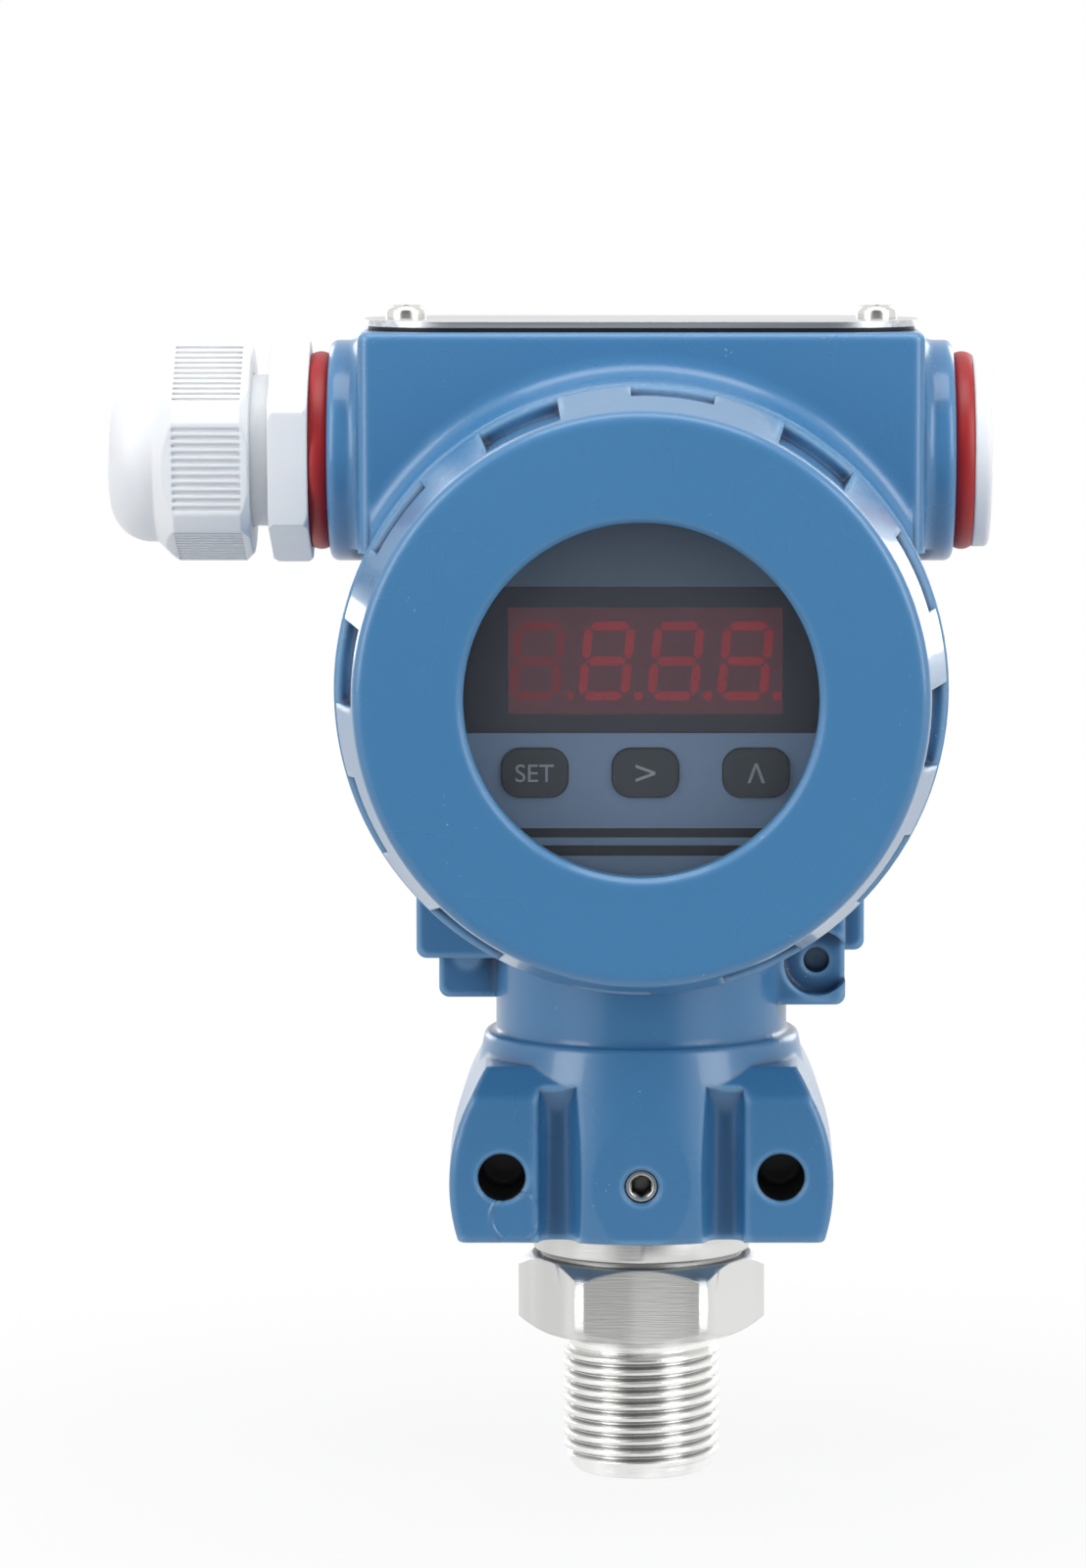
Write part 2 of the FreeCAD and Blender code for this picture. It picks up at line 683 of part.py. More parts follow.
def screw_holes():
    """Threaded holes that the small fasteners and the locking screw go into."""
    hole_r = small_screw_r + thread_gap
    holes = []
    board_hole_end = signal_board_front_y + small_screw_length + hole_spare
    for x, z in on_circle(signal_screw_count, signal_screw_circle_r, 45):
        holes.append(rod(hole_r, V(x, signal_board_front_y, z), V(x, board_hole_end, z)))
    for x in (-terminal_fixing_x, terminal_fixing_x):
        holes.append(rod(hole_r, V(x, partition_front - beyond, terminal_z),
                         V(x, partition_rear + beyond, terminal_z)))
    plate_hole = plate_screw_length - plate_thickness - plate_gasket_thickness + hole_spare
    for x in (-plate_screw_x, plate_screw_x):
        holes.append(rod(hole_r, V(x, 0, block_top_z + beyond), V(x, 0, block_top_z - plate_hole)))
    lock = threaded_hole(lock_screw_r + thread_gap, lock_hole_depth, lock_hole_break,
                         V(0, -front_panel_y, lock_screw_z))
    return holes + [lock]


def housing():
    lower = bulb().multiFuse(lugs()).cut(lug_grooves())
    outside = [top_block(), entry_bosses(), lower] + drum_cove() + entry_coves() + side_bosses()
    body = drum().multiFuse(outside)
    body = body.removeSplitter().cut(chambers()).fuse(board_pads())
    return body.cut(mount_holes() + earth_recesses() + screw_holes()).removeSplitter()


# ---- Covers -------------------------------------------------------------------------------------
def notch(angle, front_depth, rear_depth, front_y):
    """Pocket in a cover's flange, open to the front and shallower towards the rim."""
    outer, rear_y = cover_rim_r + beyond, flange_y - cover_rim_thickness
    outline = [(cover_rim_r - front_depth, front_y - beyond, 0), (outer, front_y - beyond, 0),
               (outer, rear_y, 0), (cover_rim_r - rear_depth, rear_y, 0)]
    end = 90 - angle + notch_angle / 2
    return turned(outline, COVER_AXIS, Y, X, -end, notch_angle)


def flange_notches(front_y):
    """Deep and shallow pockets, taking turns round the flange."""
    step = 360.0 / notch_count
    pockets = []
    for i in range(notch_count):
        angle = deep_notch_phase + i * step
        pockets.append(notch(angle, deep_notch_front, deep_notch_rear, front_y))
        pockets.append(notch(angle + step / 2, shallow_notch, shallow_notch, front_y))
    return pockets


def cover_flank(front_y):
    """Corners of the outside of a cover, from the edge of its face to the end of its skirt."""
    skirt_end = flange_y + cover_skirt_length
    groove_end = flange_y + cover_seal_groove_length
    return [(cover_face_r, front_y, cover_edge_round),
            (cover_rim_r, flange_y - cover_rim_thickness, 0.3), (cover_rim_r, flange_y, 0.4),
            (cover_seal_groove_r, flange_y, 0), (cover_seal_groove_r, groove_end, 0),
            (cover_skirt_r, groove_end, 0.2), (cover_skirt_r, skirt_end, cover_skirt_round)]


def front_cover():
    skirt_end = flange_y + cover_skirt_length
    pocket_mouth = ring_rear_y + hole_spare
    body = turned([(window_r, lip_rear_y, 0), (window_r, face_y + window_lip_bevel, 0),
                   (window_r + window_lip_bevel, face_y, 0.2)] + cover_flank(face_y) +
                  [(cover_skirt_bore_r, skirt_end, 0), (cover_skirt_bore_r, pocket_mouth, cover_skirt_round),
                   (glass_pocket_r, pocket_mouth, 0), (glass_pocket_r, lip_rear_y, 0)], COVER_AXIS, Y, X)
    return body.cut(flange_notches(face_y))


def rear_cover():
    front_y = face_y + rear_cover_depth_cut
    skirt_end = flange_y + cover_skirt_length
    inside = front_y + rear_cover_wall
    body = turned([(0, front_y, 0)] + cover_flank(front_y) +
                  [(cover_skirt_bore_r, skirt_end, 0), (cover_skirt_bore_r, inside, rear_cover_inner_round),
                   (0, inside, 0)], COVER_AXIS, Y, X)
    body = body.cut(flange_notches(front_y))
    body.rotate(V(0, 0, 0), Z, 180)
    return body


def cover_seal(side):
    """O-ring in the groove behind the flange. side is -1 for the front cover, 1 for the rear one."""
    middle = V(0, -side * (flange_y + cover_seal_groove_length / 2), cover_axis_z)
    return Part.makeTorus(cover_seal_groove_r + seat_gap + cover_seal_wire_r, cover_seal_wire_r, middle, Y)


def disc(outer, inner, y0, y1):
    shape = rod(outer, V(0, y0, cover_axis_z), V(0, y1, cover_axis_z))
    if inner:
        shape = shape.cut(rod(inner, V(0, y0 - beyond, cover_axis_z), V(0, y1 + beyond, cover_axis_z)))
    return shape


def window_glass():
    return turned([(0, glass_front_y, 0), (glass_r, glass_front_y, glass_edge),
                   (glass_r, glass_rear_y, glass_edge), (0, glass_rear_y, 0)], COVER_AXIS, Y, X)


def window_gasket():
    front = lip_rear_y + seat_gap
    return disc(glass_r, window_r + glass_edge, front, front + gasket_thickness)


def window_ring():
    """Threaded ring that holds the glass, with two slots for a spanner."""
    ring = disc(glass_pocket_r - thread_gap, window_r + ring_bore_step, ring_front_y, ring_rear_y)
    half = ring_slot_width / 2
    return ring.cut(box(-glass_pocket_r, glass_pocket_r, ring_rear_y - ring_slot_depth, ring_rear_y + beyond,
                        cover_axis_z - half, cover_axis_z + half))


# ---- Display ------------------------------------------------------------------------------------
def key_places():
    """Middles of the three keys, as (x, z), from left to right."""
    return [(display_x + i * key_pitch, cover_axis_z + key_up) for i in (-1, 0, 1)]


def key_outline(grow):
    return rectangle(key_width / 2 + grow, key_height / 2 + grow, key_side_round + grow)


def display_panel():
    """Moulded front of the display: a round plate with a wall that stands on the board."""
    front, rear = panel_front_y - beyond, panel_plate_rear_y + beyond
    cup = turned([(0, panel_front_y, 0), (panel_r, panel_front_y, panel_edge_round),
                  (panel_r, board_front_y - seat_gap, 0), (panel_r - panel_wall, board_front_y - seat_gap, 0),
                  (panel_r - panel_wall, panel_plate_rear_y, 0), (0, panel_plate_rear_y, 0)],
                 COVER_AXIS, Y, X)
    middle = V(display_x, 0, cover_axis_z)
    strip = plate_y(rectangle(filter_width / 2 + seat_gap, filter_height / 2 + seat_gap),
                    front, panel_front_y + filter_thickness + seat_gap, middle + Z * filter_up)
    opening = plate_y(rectangle(led_width / 2 + seat_gap, led_height / 2 + seat_gap), front, rear,
                      middle + Z * led_up)
    holes = [plate_y(key_outline(key_hole_gap), front, rear, V(x, 0, z)) for x, z in key_places()]
    return cup.cut([strip, opening] + holes)


def display_filter():
    centre = V(display_x, 0, cover_axis_z + filter_up)
    rear = panel_front_y + filter_thickness
    strip = plate_y(rectangle(filter_width / 2, filter_height / 2), panel_front_y, rear, centre)
    return strip.common(disc(panel_r - filter_margin, 0, panel_front_y, rear))


def led_display():
    centre = V(display_x, 0, cover_axis_z + led_up)
    rear = min(led_front_y + led_depth, board_front_y - seat_gap)
    return plate_y(rectangle(led_width / 2, led_height / 2, 0.3), led_front_y, rear, centre)


def digit_segments():
    """Seven bars and a point for each digit, raised a little from the module's face."""
    half_w, half_h = (digit_width - segment_width) / 2, (digit_height - segment_width) / 2
    bars = [(0, half_h, True), (0, 0, True), (0, -half_h, True)]
    bars += [(sx * half_w, sz * half_h / 2, False) for sx in (-1, 1) for sz in (-1, 1)]
    reach_u, reach_v = half_w - segment_gap, half_h / 2 - segment_gap
    tip = segment_width / 2
    centre_z = cover_axis_z + led_up
    solids = []
    for i in range(digit_count):
        centre_x = display_x + (i - (digit_count - 1) / 2) * digit_pitch - digit_shift
        for u, v, flat in bars:
            reach = reach_u if flat else reach_v
            outline = [(-reach, 0), (-reach + tip, -tip), (reach - tip, -tip),
                       (reach, 0), (reach - tip, tip), (-reach + tip, tip)]
            points = []
            for a, b in outline:
                x, z = (u + a, v + b) if flat else (u + b, v + a)
                points.append(V(centre_x + x + digit_lean * z, led_front_y, centre_z + z))
            bar = Part.Face(Part.makePolygon(points + points[:1]))
            solids.append(bar.extrude(-Y * segment_relief))
        point = V(centre_x + half_w + tip + point_offset, led_front_y, centre_z - half_h)
        solids.append(rod(point_r, point, point - Y * segment_relief))
    return solids


def key(x, z):
    """Rubber key with a rim behind the panel and a foot over its switch."""
    rim_front = panel_plate_rear_y + seat_gap
    rim_rear = rim_front + key_flange
    cap = plate_y(key_outline(0), panel_front_y - key_proud, rim_rear, V(x, 0, z))
    rim = plate_y(key_outline(key_rim), rim_front, rim_rear, V(x, 0, z))
    stem = rod(key_stem_r, V(x, rim_front, z), V(x, plunger_y - key_travel - plunger_gap, z))
    return cap.fuse([rim, stem]).removeSplitter()


def key_switches():
    switches = []
    half = switch_size / 2
    for x, z in key_places():
        body = box(x - half, x + half, board_front_y - switch_height, board_front_y, z - half, z + half)
        plunger = rod(plunger_r, V(x, plunger_y, z), V(x, board_front_y - beyond, z))
        switches.append(body.fuse(plunger).removeSplitter())
    return switches


def standoff_places():
    return on_circle(standoff_count, standoff_circle_r)


def display_board():
    board = disc(board_r, 0, board_front_y, board_rear_y)
    holes = [rod(small_screw_r + free_gap, V(x, board_front_y - beyond, z), V(x, board_rear_y + beyond, z))
             for x, z in standoff_places()]
    return board.cut(holes)


def standoffs():
    """Hexagonal posts between the partition and the display board."""
    posts = []
    for x, z in standoff_places():
        post = hexagon(standoff_flats, V(x, partition_front, z), -Y, partition_front - board_rear_y)
        posts.append(post.cut(rod(small_screw_r + thread_gap, V(x, board_rear_y - beyond, z),
                                  V(x, board_rear_y + small_screw_length, z))))
    return posts


def display_screws():
    return [pan_head_screw(V(x, board_front_y, z), Y, small_screw_r, display_head_r,
                           small_head_height, small_screw_length) for x, z in standoff_places()]


def signal_board():
    board = disc(signal_board_r, 0, signal_board_front_y, signal_board_rear_y)
    front, rear = signal_board_front_y - beyond, signal_board_rear_y + beyond
    cuts = [rod(signal_board_relief, V(x, front, z), V(x, rear, z)) for x, z in standoff_places()]
    cuts += [rod(small_screw_r + free_gap, V(x, front, z), V(x, rear, z))
             for x, z in on_circle(signal_screw_count, signal_screw_circle_r, 45)]
    return board.cut(cuts)


def signal_board_screws():
    return [pan_head_screw(V(x, signal_board_front_y, z), Y, small_screw_r, small_head_r, small_head_height,
                           small_screw_length)
            for x, z in on_circle(signal_screw_count, signal_screw_circle_r, 45)]


# ---- Terminals ----------------------------------------------------------------------------------
def terminal_places():
    return [((i - (terminal_count - 1) / 2) * terminal_pitch, terminal_z) for i in range(terminal_count)]


def terminal_block():
    centre = V(0, 0, terminal_z)
    block = plate_y(rectangle(terminal_width / 2, terminal_height / 2, terminal_corner_r),
                    partition_rear, terminal_rear_y, centre)
    ears = plate_y(rectangle(terminal_fixing_x + terminal_ear_r, terminal_ear_r, terminal_ear_r - seat_gap),
                   partition_rear, partition_rear + terminal_ear_thickness, centre)
    block = block.fuse(ears)
    half = terminal_well_width / 2
    screw_end = terminal_floor_y - terminal_screw_reach - hole_spare
    cuts = []
    for x, z in terminal_places():
        cuts.append(box(x - half, x + half, terminal_floor_y, terminal_rear_y + beyond, z - half,
                        z + terminal_height))
        cuts.append(rod(small_screw_r + free_gap, V(x, screw_end, z), V(x, terminal_rear_y, z)))
    for x in (-terminal_fixing_x, terminal_fixing_x):
        cuts.append(rod(small_screw_r + free_gap, V(x, partition_rear - beyond, terminal_z),
                        V(x, terminal_rear_y, terminal_z)))
    return block.cut(cuts).removeSplitter()


def terminal_clamps():
    half = terminal_well_width / 2 - clamp_gap
    front, rear = terminal_floor_y + seat_gap, terminal_floor_y + clamp_thickness
    clamps = []
    for x, z in terminal_places():
        plate = box(x - half, x + half, front, rear, z - half, z + half)
        hole = rod(small_screw_r + free_gap, V(x, front - beyond, z), V(x, rear + beyond, z))
        clamps.append(plate.cut(hole))
    return clamps


def terminal_screws():
    return [pan_head_screw(V(x, terminal_floor_y + clamp_thickness, z), -Y, small_screw_r, terminal_head_r,
                           terminal_head_height, clamp_thickness + terminal_screw_reach)
            for x, z in terminal_places()]


def terminal_block_screws():
    seat = partition_rear + terminal_ear_thickness
    return [pan_head_screw(V(x, seat, terminal_z), -Y, small_screw_r, small_head_r, small_head_height,
                           terminal_ear_thickness + partition_thickness - hole_spare)
            for x in (-terminal_fixing_x, terminal_fixing_x)]


# ---- Nameplate ----------------------------------------------------------------------------------
def top_plate(inset, z0, z1):
    """Round-ended plate on top of the block, smaller than the nameplate by an inset all round."""
    outline = rectangle(plate_half_length - inset, plate_half_width - inset, plate_corner_r - inset)
    plate = rounded_outline(outline, lambda u, v: V(u, v, z0)).extrude(V(0, 0, z1 - z0))
    holes = [rod(small_screw_r + free_gap, V(x, 0, z0 - beyond), V(x, 0, z1 + beyond))
             for x in (-plate_screw_x, plate_screw_x)]
    return plate.cut(holes)


def nameplate_gasket():
    return top_plate(plate_gasket_inset, block_top_z, block_top_z + plate_gasket_thickness)


def nameplate():
    bottom = block_top_z + plate_gasket_thickness
    return top_plate(0.0, bottom, bottom + plate_thickness)


def nameplate_screws():
    top = block_top_z + plate_gasket_thickness + plate_thickness
    return [pan_head_screw(V(x, 0, top), -Z, small_screw_r, small_head_r, small_head_height,
                           plate_screw_length)
            for x in (-plate_screw_x, plate_screw_x)]


# ---- Process connection -------------------------------------------------------------------------
def process_connection():
    """Hexagon, male process thread and collar in one piece, with the pressure port through it."""
    relief_z = thread_length - relief_length
    runout = thread_r - relief_r
    shaft = turned([(0, 0, 0), (thread_tip_r - thread_tip_chamfer, 0, 0),
                    (thread_tip_r, thread_tip_chamfer, 0),
                    (thread_tip_r, thread_tip_length, 0),
                    (thread_r, thread_tip_length + thread_r - thread_tip_r, 0),
                    (thread_r, relief_z - runout, 0), (relief_r, relief_z, 0),
                    (relief_r, hex_bottom_z + beyond, 0), (0, hex_bottom_z + beyond, 0)], V(0, 0, 0), Z, X)
    flat_r = hex_flats / 2
    turned_down = turned([(0, hex_bottom_z, 0), (hex_corner_r - hex_bottom_bevel, hex_bottom_z, 0),
                          (hex_corner_r, hex_bottom_z + hex_bottom_bevel, 0),
                          (hex_corner_r, hex_top_z - hex_top_bevel, 0), (flat_r, hex_top_z, 0),
                          (0, hex_top_z, 0)], V(0, 0, 0), Z, X)
    head = hexagon(hex_flats, V(0, 0, hex_bottom_z), Z, hex_height, 30.0).common(turned_down)
    collar_top = bulb_bottom_z - seat_gap
    upper = turned([(0, hex_top_z - beyond, 0), (collar_neck_r, hex_top_z - beyond, 0),
                    (collar_neck_r, collar_bottom_z, 0), (collar_r, collar_bottom_z, 0.4),
                    (collar_r, collar_top, 0.3), (spigot_r, collar_top, 0), (spigot_r, spigot_top_z, 0.5),
                    (0, spigot_top_z, 0)], V(0, 0, 0), Z, X)
    body = shaft.fuse([head, upper])
    body = body.cut([rod(port_r, V(0, 0, -beyond), V(0, 0, cell_seat_z + beyond)),
                     rod(cell_r + thread_gap, V(0, 0, cell_seat_z), V(0, 0, spigot_top_z + beyond))])
    return body.removeSplitter()


def sensor_seal():
    middle = V(0, 0, cell_seat_z + cell_seal_wire_r)
    return Part.makeTorus(cell_r - cell_seal_inset, cell_seal_wire_r, middle, Z)


def sensor_cell():
    boss_r = cell_ring_bore_r - cell_ring_gap
    return turned([(0, 0, 0), (cell_r, 0, 0.3), (cell_r, cell_rim_height, 0), (boss_r, cell_rim_height, 0),
                   (boss_r, cell_height, 0.3), (0, cell_height, 0)], V(0, 0, cell_bottom_z), Z, X)


def sensor_ring():
    low = cell_bottom_z + cell_rim_height
    ring = rod(cell_r, V(0, 0, low), V(0, 0, low + cell_ring_height))
    return ring.cut(rod(cell_ring_bore_r, V(0, 0, low - beyond), V(0, 0, low + cell_ring_height + beyond)))


def sensor_pins():
    pins = []
    for i in range(pin_count):
        angle = math.radians(45 + 360.0 * i / pin_count)
        foot = V(pin_circle_r * math.cos(angle), pin_circle_r * math.sin(angle), cell_bottom_z + cell_height)
        pins.append(rod(pin_r, foot, foot + Z * pin_length))
    return pins


def lock_screw():
    """Socket set screw that stops the process connection from turning."""
    head = -front_panel_y + lock_screw_sunk
    tip = -spigot_r
    screw = turned([(0, head, 0), (lock_screw_r, head, 0.2), (lock_screw_r, tip - lock_screw_point, 0),
                    (lock_screw_r - lock_screw_point, tip, 0), (0, tip, 0)], V(0, 0, lock_screw_z), Y, X)
    socket = hexagon(lock_socket_flats, V(0, head - beyond, lock_screw_z), Y, lock_socket_depth + beyond)
    mouth = turned([(0, -beyond, 0), (lock_socket_mouth_r + beyond, -beyond, 0), (0, lock_socket_mouth_r, 0)],
                   V(0, head, lock_screw_z), Y, X)
    return screw.cut([socket, mouth])


# ---- Cable gland and plug -----------------------------------------------------------------------
def along_entry(corners, side):
    """Turned piece on the entries' axis. Corners are (radius, distance from the middle, rounding)."""
    return turned(corners, V(0, 0, entry_axis_z), X * side, Z)


def entry_washer(side):
    inner = entry_thread_r + thread_gap
    half = washer_thickness / 2
    near, far = entry_face_x + seat_gap, washer_x - seat_gap
    middle = washer_r + washer_bulge
    points = [(inner, near), (washer_r, near), (middle, near + half), (washer_r, far), (inner, far)]
    def place(r, x):
        return V(side * x, 0, entry_axis_z + r)
    edges = [Part.makeLine(place(*points[0]), place(*points[1])),
             Part.Arc(place(*points[1]), place(*points[2]), place(*points[3])).toShape(),
             Part.makeLine(place(*points[3]), place(*points[4])),
             Part.makeLine(place(*points[4]), place(*points[0]))]
    return Part.Face(Part.Wire(edges)).revolve(V(0, 0, entry_axis_z), X, 360)


def gland_body():
    """Hexagon with a shank in the housing and a bored neck for the dome nut."""
    corner = gland_hex_flats / math.sqrt(3)
    start = V(-washer_x, 0, entry_axis_z)
    flats = hexagon(gland_hex_flats, start, -X, gland_hex_thickness, 60 + gland_hex_turn)
    trim = along_entry([(0, washer_x, 0), (corner - gland_hex_bevel, washer_x, 0),
                        (corner, washer_x + gland_hex_bevel, 0), (corner, gland_hex_x - gland_hex_bevel, 0),
                        (corner - gland_hex_bevel, gland_hex_x, 0), (0, gland_hex_x, 0)], -1)
    shank = along_entry([(0, shank_end_x, 0), (entry_thread_r, shank_end_x, shank_end_bevel),
                         (entry_thread_r, washer_x + beyond, 0), (0, washer_x + beyond, 0)], -1)
    neck = along_entry([(0, gland_hex_x - beyond, 0), (gland_neck_r, gland_hex_x - beyond, 0),
                        (gland_neck_r, gland_neck_x, shank_end_bevel), (0, gland_neck_x, 0)], -1)
    bore = rod(gland_bore_r, V(beyond - shank_end_x, 0, entry_axis_z),
               V(-gland_neck_x - beyond, 0, entry_axis_z))
    return flats.common(trim).fuse([shank, neck]).cut(bore).removeSplitter()


def gland_nut():
    """Dome nut with ribbed flats."""
    grip_x = nut_x + nut_grip_length
    corner = nut_flats / math.sqrt(3) - nut_corner_cut
    bore_r = gland_neck_r + thread_gap
    flats = hexagon(nut_flats, V(-nut_x, 0, entry_axis_z), -X, nut_grip_length, 60 + gland_hex_turn)
    trim = along_entry([(0, nut_x, 0), (corner - nut_chamfer, nut_x, 0), (corner, nut_x + nut_chamfer, 0),
                        (corner, grip_x - nut_shoulder, 0), (nut_dome_r, grip_x, 0), (0, grip_x, 0)], -1)
    dome = along_entry([(0, nut_x + nut_chamfer, 0), (nut_dome_r, nut_x + nut_chamfer, 0),
                        (nut_dome_r, nut_end_x, nut_dome_round), (0, nut_end_x, 0)], -1)
    step = seal_front_x + seal_length + seat_gap
    inside = along_entry([(0, nut_x - beyond, 0), (bore_r, nut_x - beyond, 0), (bore_r, step, 0),
                          (nut_mouth_r, nut_end_x - nut_mouth_length, 0),
                          (nut_mouth_r, nut_end_x + beyond, 0), (0, nut_end_x + beyond, 0)], -1)
    return flats.common(trim).fuse(dome).cut([inside] + nut_grooves()).removeSplitter()


def nut_grooves():
    """Shallow grooves that leave ribs along each flat of the dome nut."""
    long = nut_grip_length - rib_end - nut_shoulder
    corner_x = -nut_x - rib_end - long
    floor_z = entry_axis_z + nut_flats / 2 - rib_depth
    grooves = []
    for side in range(6):
        for i in range(rib_count):
            offset = (i - (rib_count - 1) / 2) * rib_pitch
            groove = Part.makeBox(long, rib_gap, rib_depth + beyond,
                                  V(corner_x, offset - rib_gap / 2, floor_z))
            groove.rotate(V(0, 0, entry_axis_z), X, 30 + 60 * side + gland_hex_turn)
            grooves.append(groove)
    return grooves


def gland_seal():
    """Rubber sleeve that the nut squeezes onto the cable."""
    end = seal_front_x + seal_length
    shoulder = end - seal_rim_length
    outer = gland_bore_r - seal_gap
    return along_entry([(seal_bore_r, seal_front_x, 0.4), (outer, seal_front_x, 0), (outer, shoulder, 0),
                        (seal_rim_r, shoulder, 0.3), (seal_rim_r, end, 0.6), (seal_bore_r, end, 0.6)], -1)


def plug():
    """Blanking plug: a hollow threaded shank with a round slotted disc."""
    outer = washer_x + plug_disc_thickness
    web = washer_x - plug_web
    body = along_entry([(0, outer, 0), (plug_disc_r, outer, plug_disc_round), (plug_disc_r, washer_x, 0.2),
                        (entry_thread_r, washer_x, 0), (entry_thread_r, shank_end_x, shank_end_bevel),
                        (plug_bore_r, shank_end_x, 0), (plug_bore_r, web, 0.6), (0, web, 0)], 1)
    half = plug_slot_width / 2
    return body.cut(box(outer - plug_slot_depth, outer + beyond, -plug_slot_half, plug_slot_half,
                        entry_axis_z - half, entry_axis_z + half))


# ---- Files --------------------------------------------------------------------------------------
save("housing", housing())
save("front_cover", front_cover())
save("rear_cover", rear_cover())
save("front_cover_seal", cover_seal(-1))
save("rear_cover_seal", cover_seal(1))
save("window_glass", window_glass())
save("window_gasket", window_gasket())
save("window_ring", window_ring())
save("display_panel", display_panel())
save("display_filter", display_filter())
save("led_display", led_display())
save("digit_segments", digit_segments())
for name, place in zip(("key_set", "key_shift", "key_up"), key_places()):
    save(name, key(*place))
save("key_switches", key_switches())
save("display_board", display_board())
save("standoffs", standoffs())
save("display_screws", display_screws())
save("signal_board", signal_board())
save("signal_board_screws", signal_board_screws())
save("terminal_block", terminal_block())
save("terminal_clamps", terminal_clamps())
save("terminal_screws", terminal_screws())
save("terminal_block_screws", terminal_block_screws())
save("nameplate", nameplate())
save("nameplate_gasket", nameplate_gasket())
save("nameplate_screws", nameplate_screws())
save("process_connection", process_connection())
save("sensor_cell", sensor_cell())
save("sensor_seal", sensor_seal())
save("sensor_ring", sensor_ring())
save("sensor_pins", sensor_pins())
save("lock_screw", lock_screw())
save("gland_washer", entry_washer(-1))
save("gland_body", gland_body())
save("gland_nut", gland_nut())
save("gland_seal", gland_seal())
save("plug_washer", entry_washer(1))
save("plug", plug())
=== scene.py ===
# %% [markdown]
# # Dressing a pressure transmitter
# The part is built and measured in a CAD program first, so its solids arrive here finished, each at its
# true size and place. What Blender adds is what a CAD solid lacks: enamel, brushed steel, smoked glass,
# a rolled thread, the marks on the keys, and a studio to see them in. The first step loads the solids.

# %% Load the solids
import math

import bmesh
import bpy
from mathutils import Matrix, Vector


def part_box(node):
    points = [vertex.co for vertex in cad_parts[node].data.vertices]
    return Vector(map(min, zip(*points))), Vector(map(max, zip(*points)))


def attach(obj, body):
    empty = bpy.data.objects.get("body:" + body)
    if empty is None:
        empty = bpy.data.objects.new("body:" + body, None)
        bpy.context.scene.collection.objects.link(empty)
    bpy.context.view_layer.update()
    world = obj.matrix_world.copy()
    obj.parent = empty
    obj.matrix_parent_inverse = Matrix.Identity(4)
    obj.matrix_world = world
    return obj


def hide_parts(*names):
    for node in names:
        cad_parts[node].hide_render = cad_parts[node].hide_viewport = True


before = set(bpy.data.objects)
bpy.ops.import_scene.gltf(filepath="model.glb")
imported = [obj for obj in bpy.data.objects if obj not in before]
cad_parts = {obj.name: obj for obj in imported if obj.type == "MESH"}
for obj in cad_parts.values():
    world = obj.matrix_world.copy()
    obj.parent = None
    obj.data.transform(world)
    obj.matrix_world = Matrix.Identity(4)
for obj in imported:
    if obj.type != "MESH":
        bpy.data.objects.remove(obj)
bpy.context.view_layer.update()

# %% [markdown]
# ## The camera
# A product is usually shown from far away with a long lens, so that its verticals stay straight. The
# camera stands about three quarters of a metre in front, a little higher than the object's top, and looks
# down by six degrees. The object sits right of the middle, which is done with the lens shift and not by
# turning the camera, because a turn would show more of one side.

# %% Set up the camera
camera_distance = 0.780
camera_height = 0.1718
camera_pitch = math.radians(6.10)
sensor_height = 24.0
focal_length = 93.96
sideways_shift = -0.0627

lens = bpy.data.cameras.new("long_lens")
lens.sensor_fit = "VERTICAL"
lens.sensor_height = sensor_height
lens.lens = focal_length
lens.shift_x = sideways_shift
lens.clip_start = 0.01
camera = bpy.data.objects.new("camera", lens)
camera.location = (0.0, -camera_distance, camera_height)
camera.rotation_euler = (math.pi / 2 - camera_pitch, 0.0, 0.0)
bpy.context.scene.collection.objects.link(camera)
bpy.context.scene.camera = camera
bpy.context.scene.view_settings.view_transform = "Standard"
print("lens, mm:", round(lens.lens, 1))

# %% [markdown]
# ## Shader maths
# A finish is a small program: noise, distances and thresholds, added and multiplied. Written with the
# node editor's own calls it would be hundreds of lines, so one class wraps an output socket and gives it
# Python's operators. Every other node goes through one method, which sets the node's own settings
# first and then fills its inputs with numbers or links.

# %% Two small classes for wiring a finish
class Wire:
    """The output of a shader node. Python's operators on it add Math nodes."""

    def __init__(self, finish, socket):
        self.finish, self.socket = finish, socket

    def maths(self, operation, *values):
        return self.finish.add("ShaderNodeMath", {"operation": operation}, values)

    def __add__(self, other):
        return self.maths("ADD", self, other)

    def __sub__(self, other):
        return self.maths("SUBTRACT", self, other)

    def __rsub__(self, other):
        return self.maths("SUBTRACT", other, self)

    def __mul__(self, other):
        return self.maths("MULTIPLY", self, other)

    def __truediv__(self, other):
        return self.maths("DIVIDE", self, other)

    def __pow__(self, other):
        return self.maths("POWER", self, other)

    def __gt__(self, other):
        return self.maths("GREATER_THAN", self, other)

    def __lt__(self, other):
        return self.maths("LESS_THAN", self, other)

    def __abs__(self):
        return self.maths("ABSOLUTE", self)

    __radd__ = __add__

    def at_least(self, other):
        return self.maths("MAXIMUM", self, other)

    def fraction(self):
        return self.maths("FRACT", self)

    def between(self, low, high):
        """1 where the value lies between two limits, 0 elsewhere."""
        return (self > low) * (self < high)

    def ramp(self, low, high):
        """0 below low, 1 above high, and a smooth step in between."""
        return self.finish.add("ShaderNodeMapRange", {"interpolation_type": "SMOOTHSTEP"},
                               {"Value": self, "From Min": low, "From Max": high})


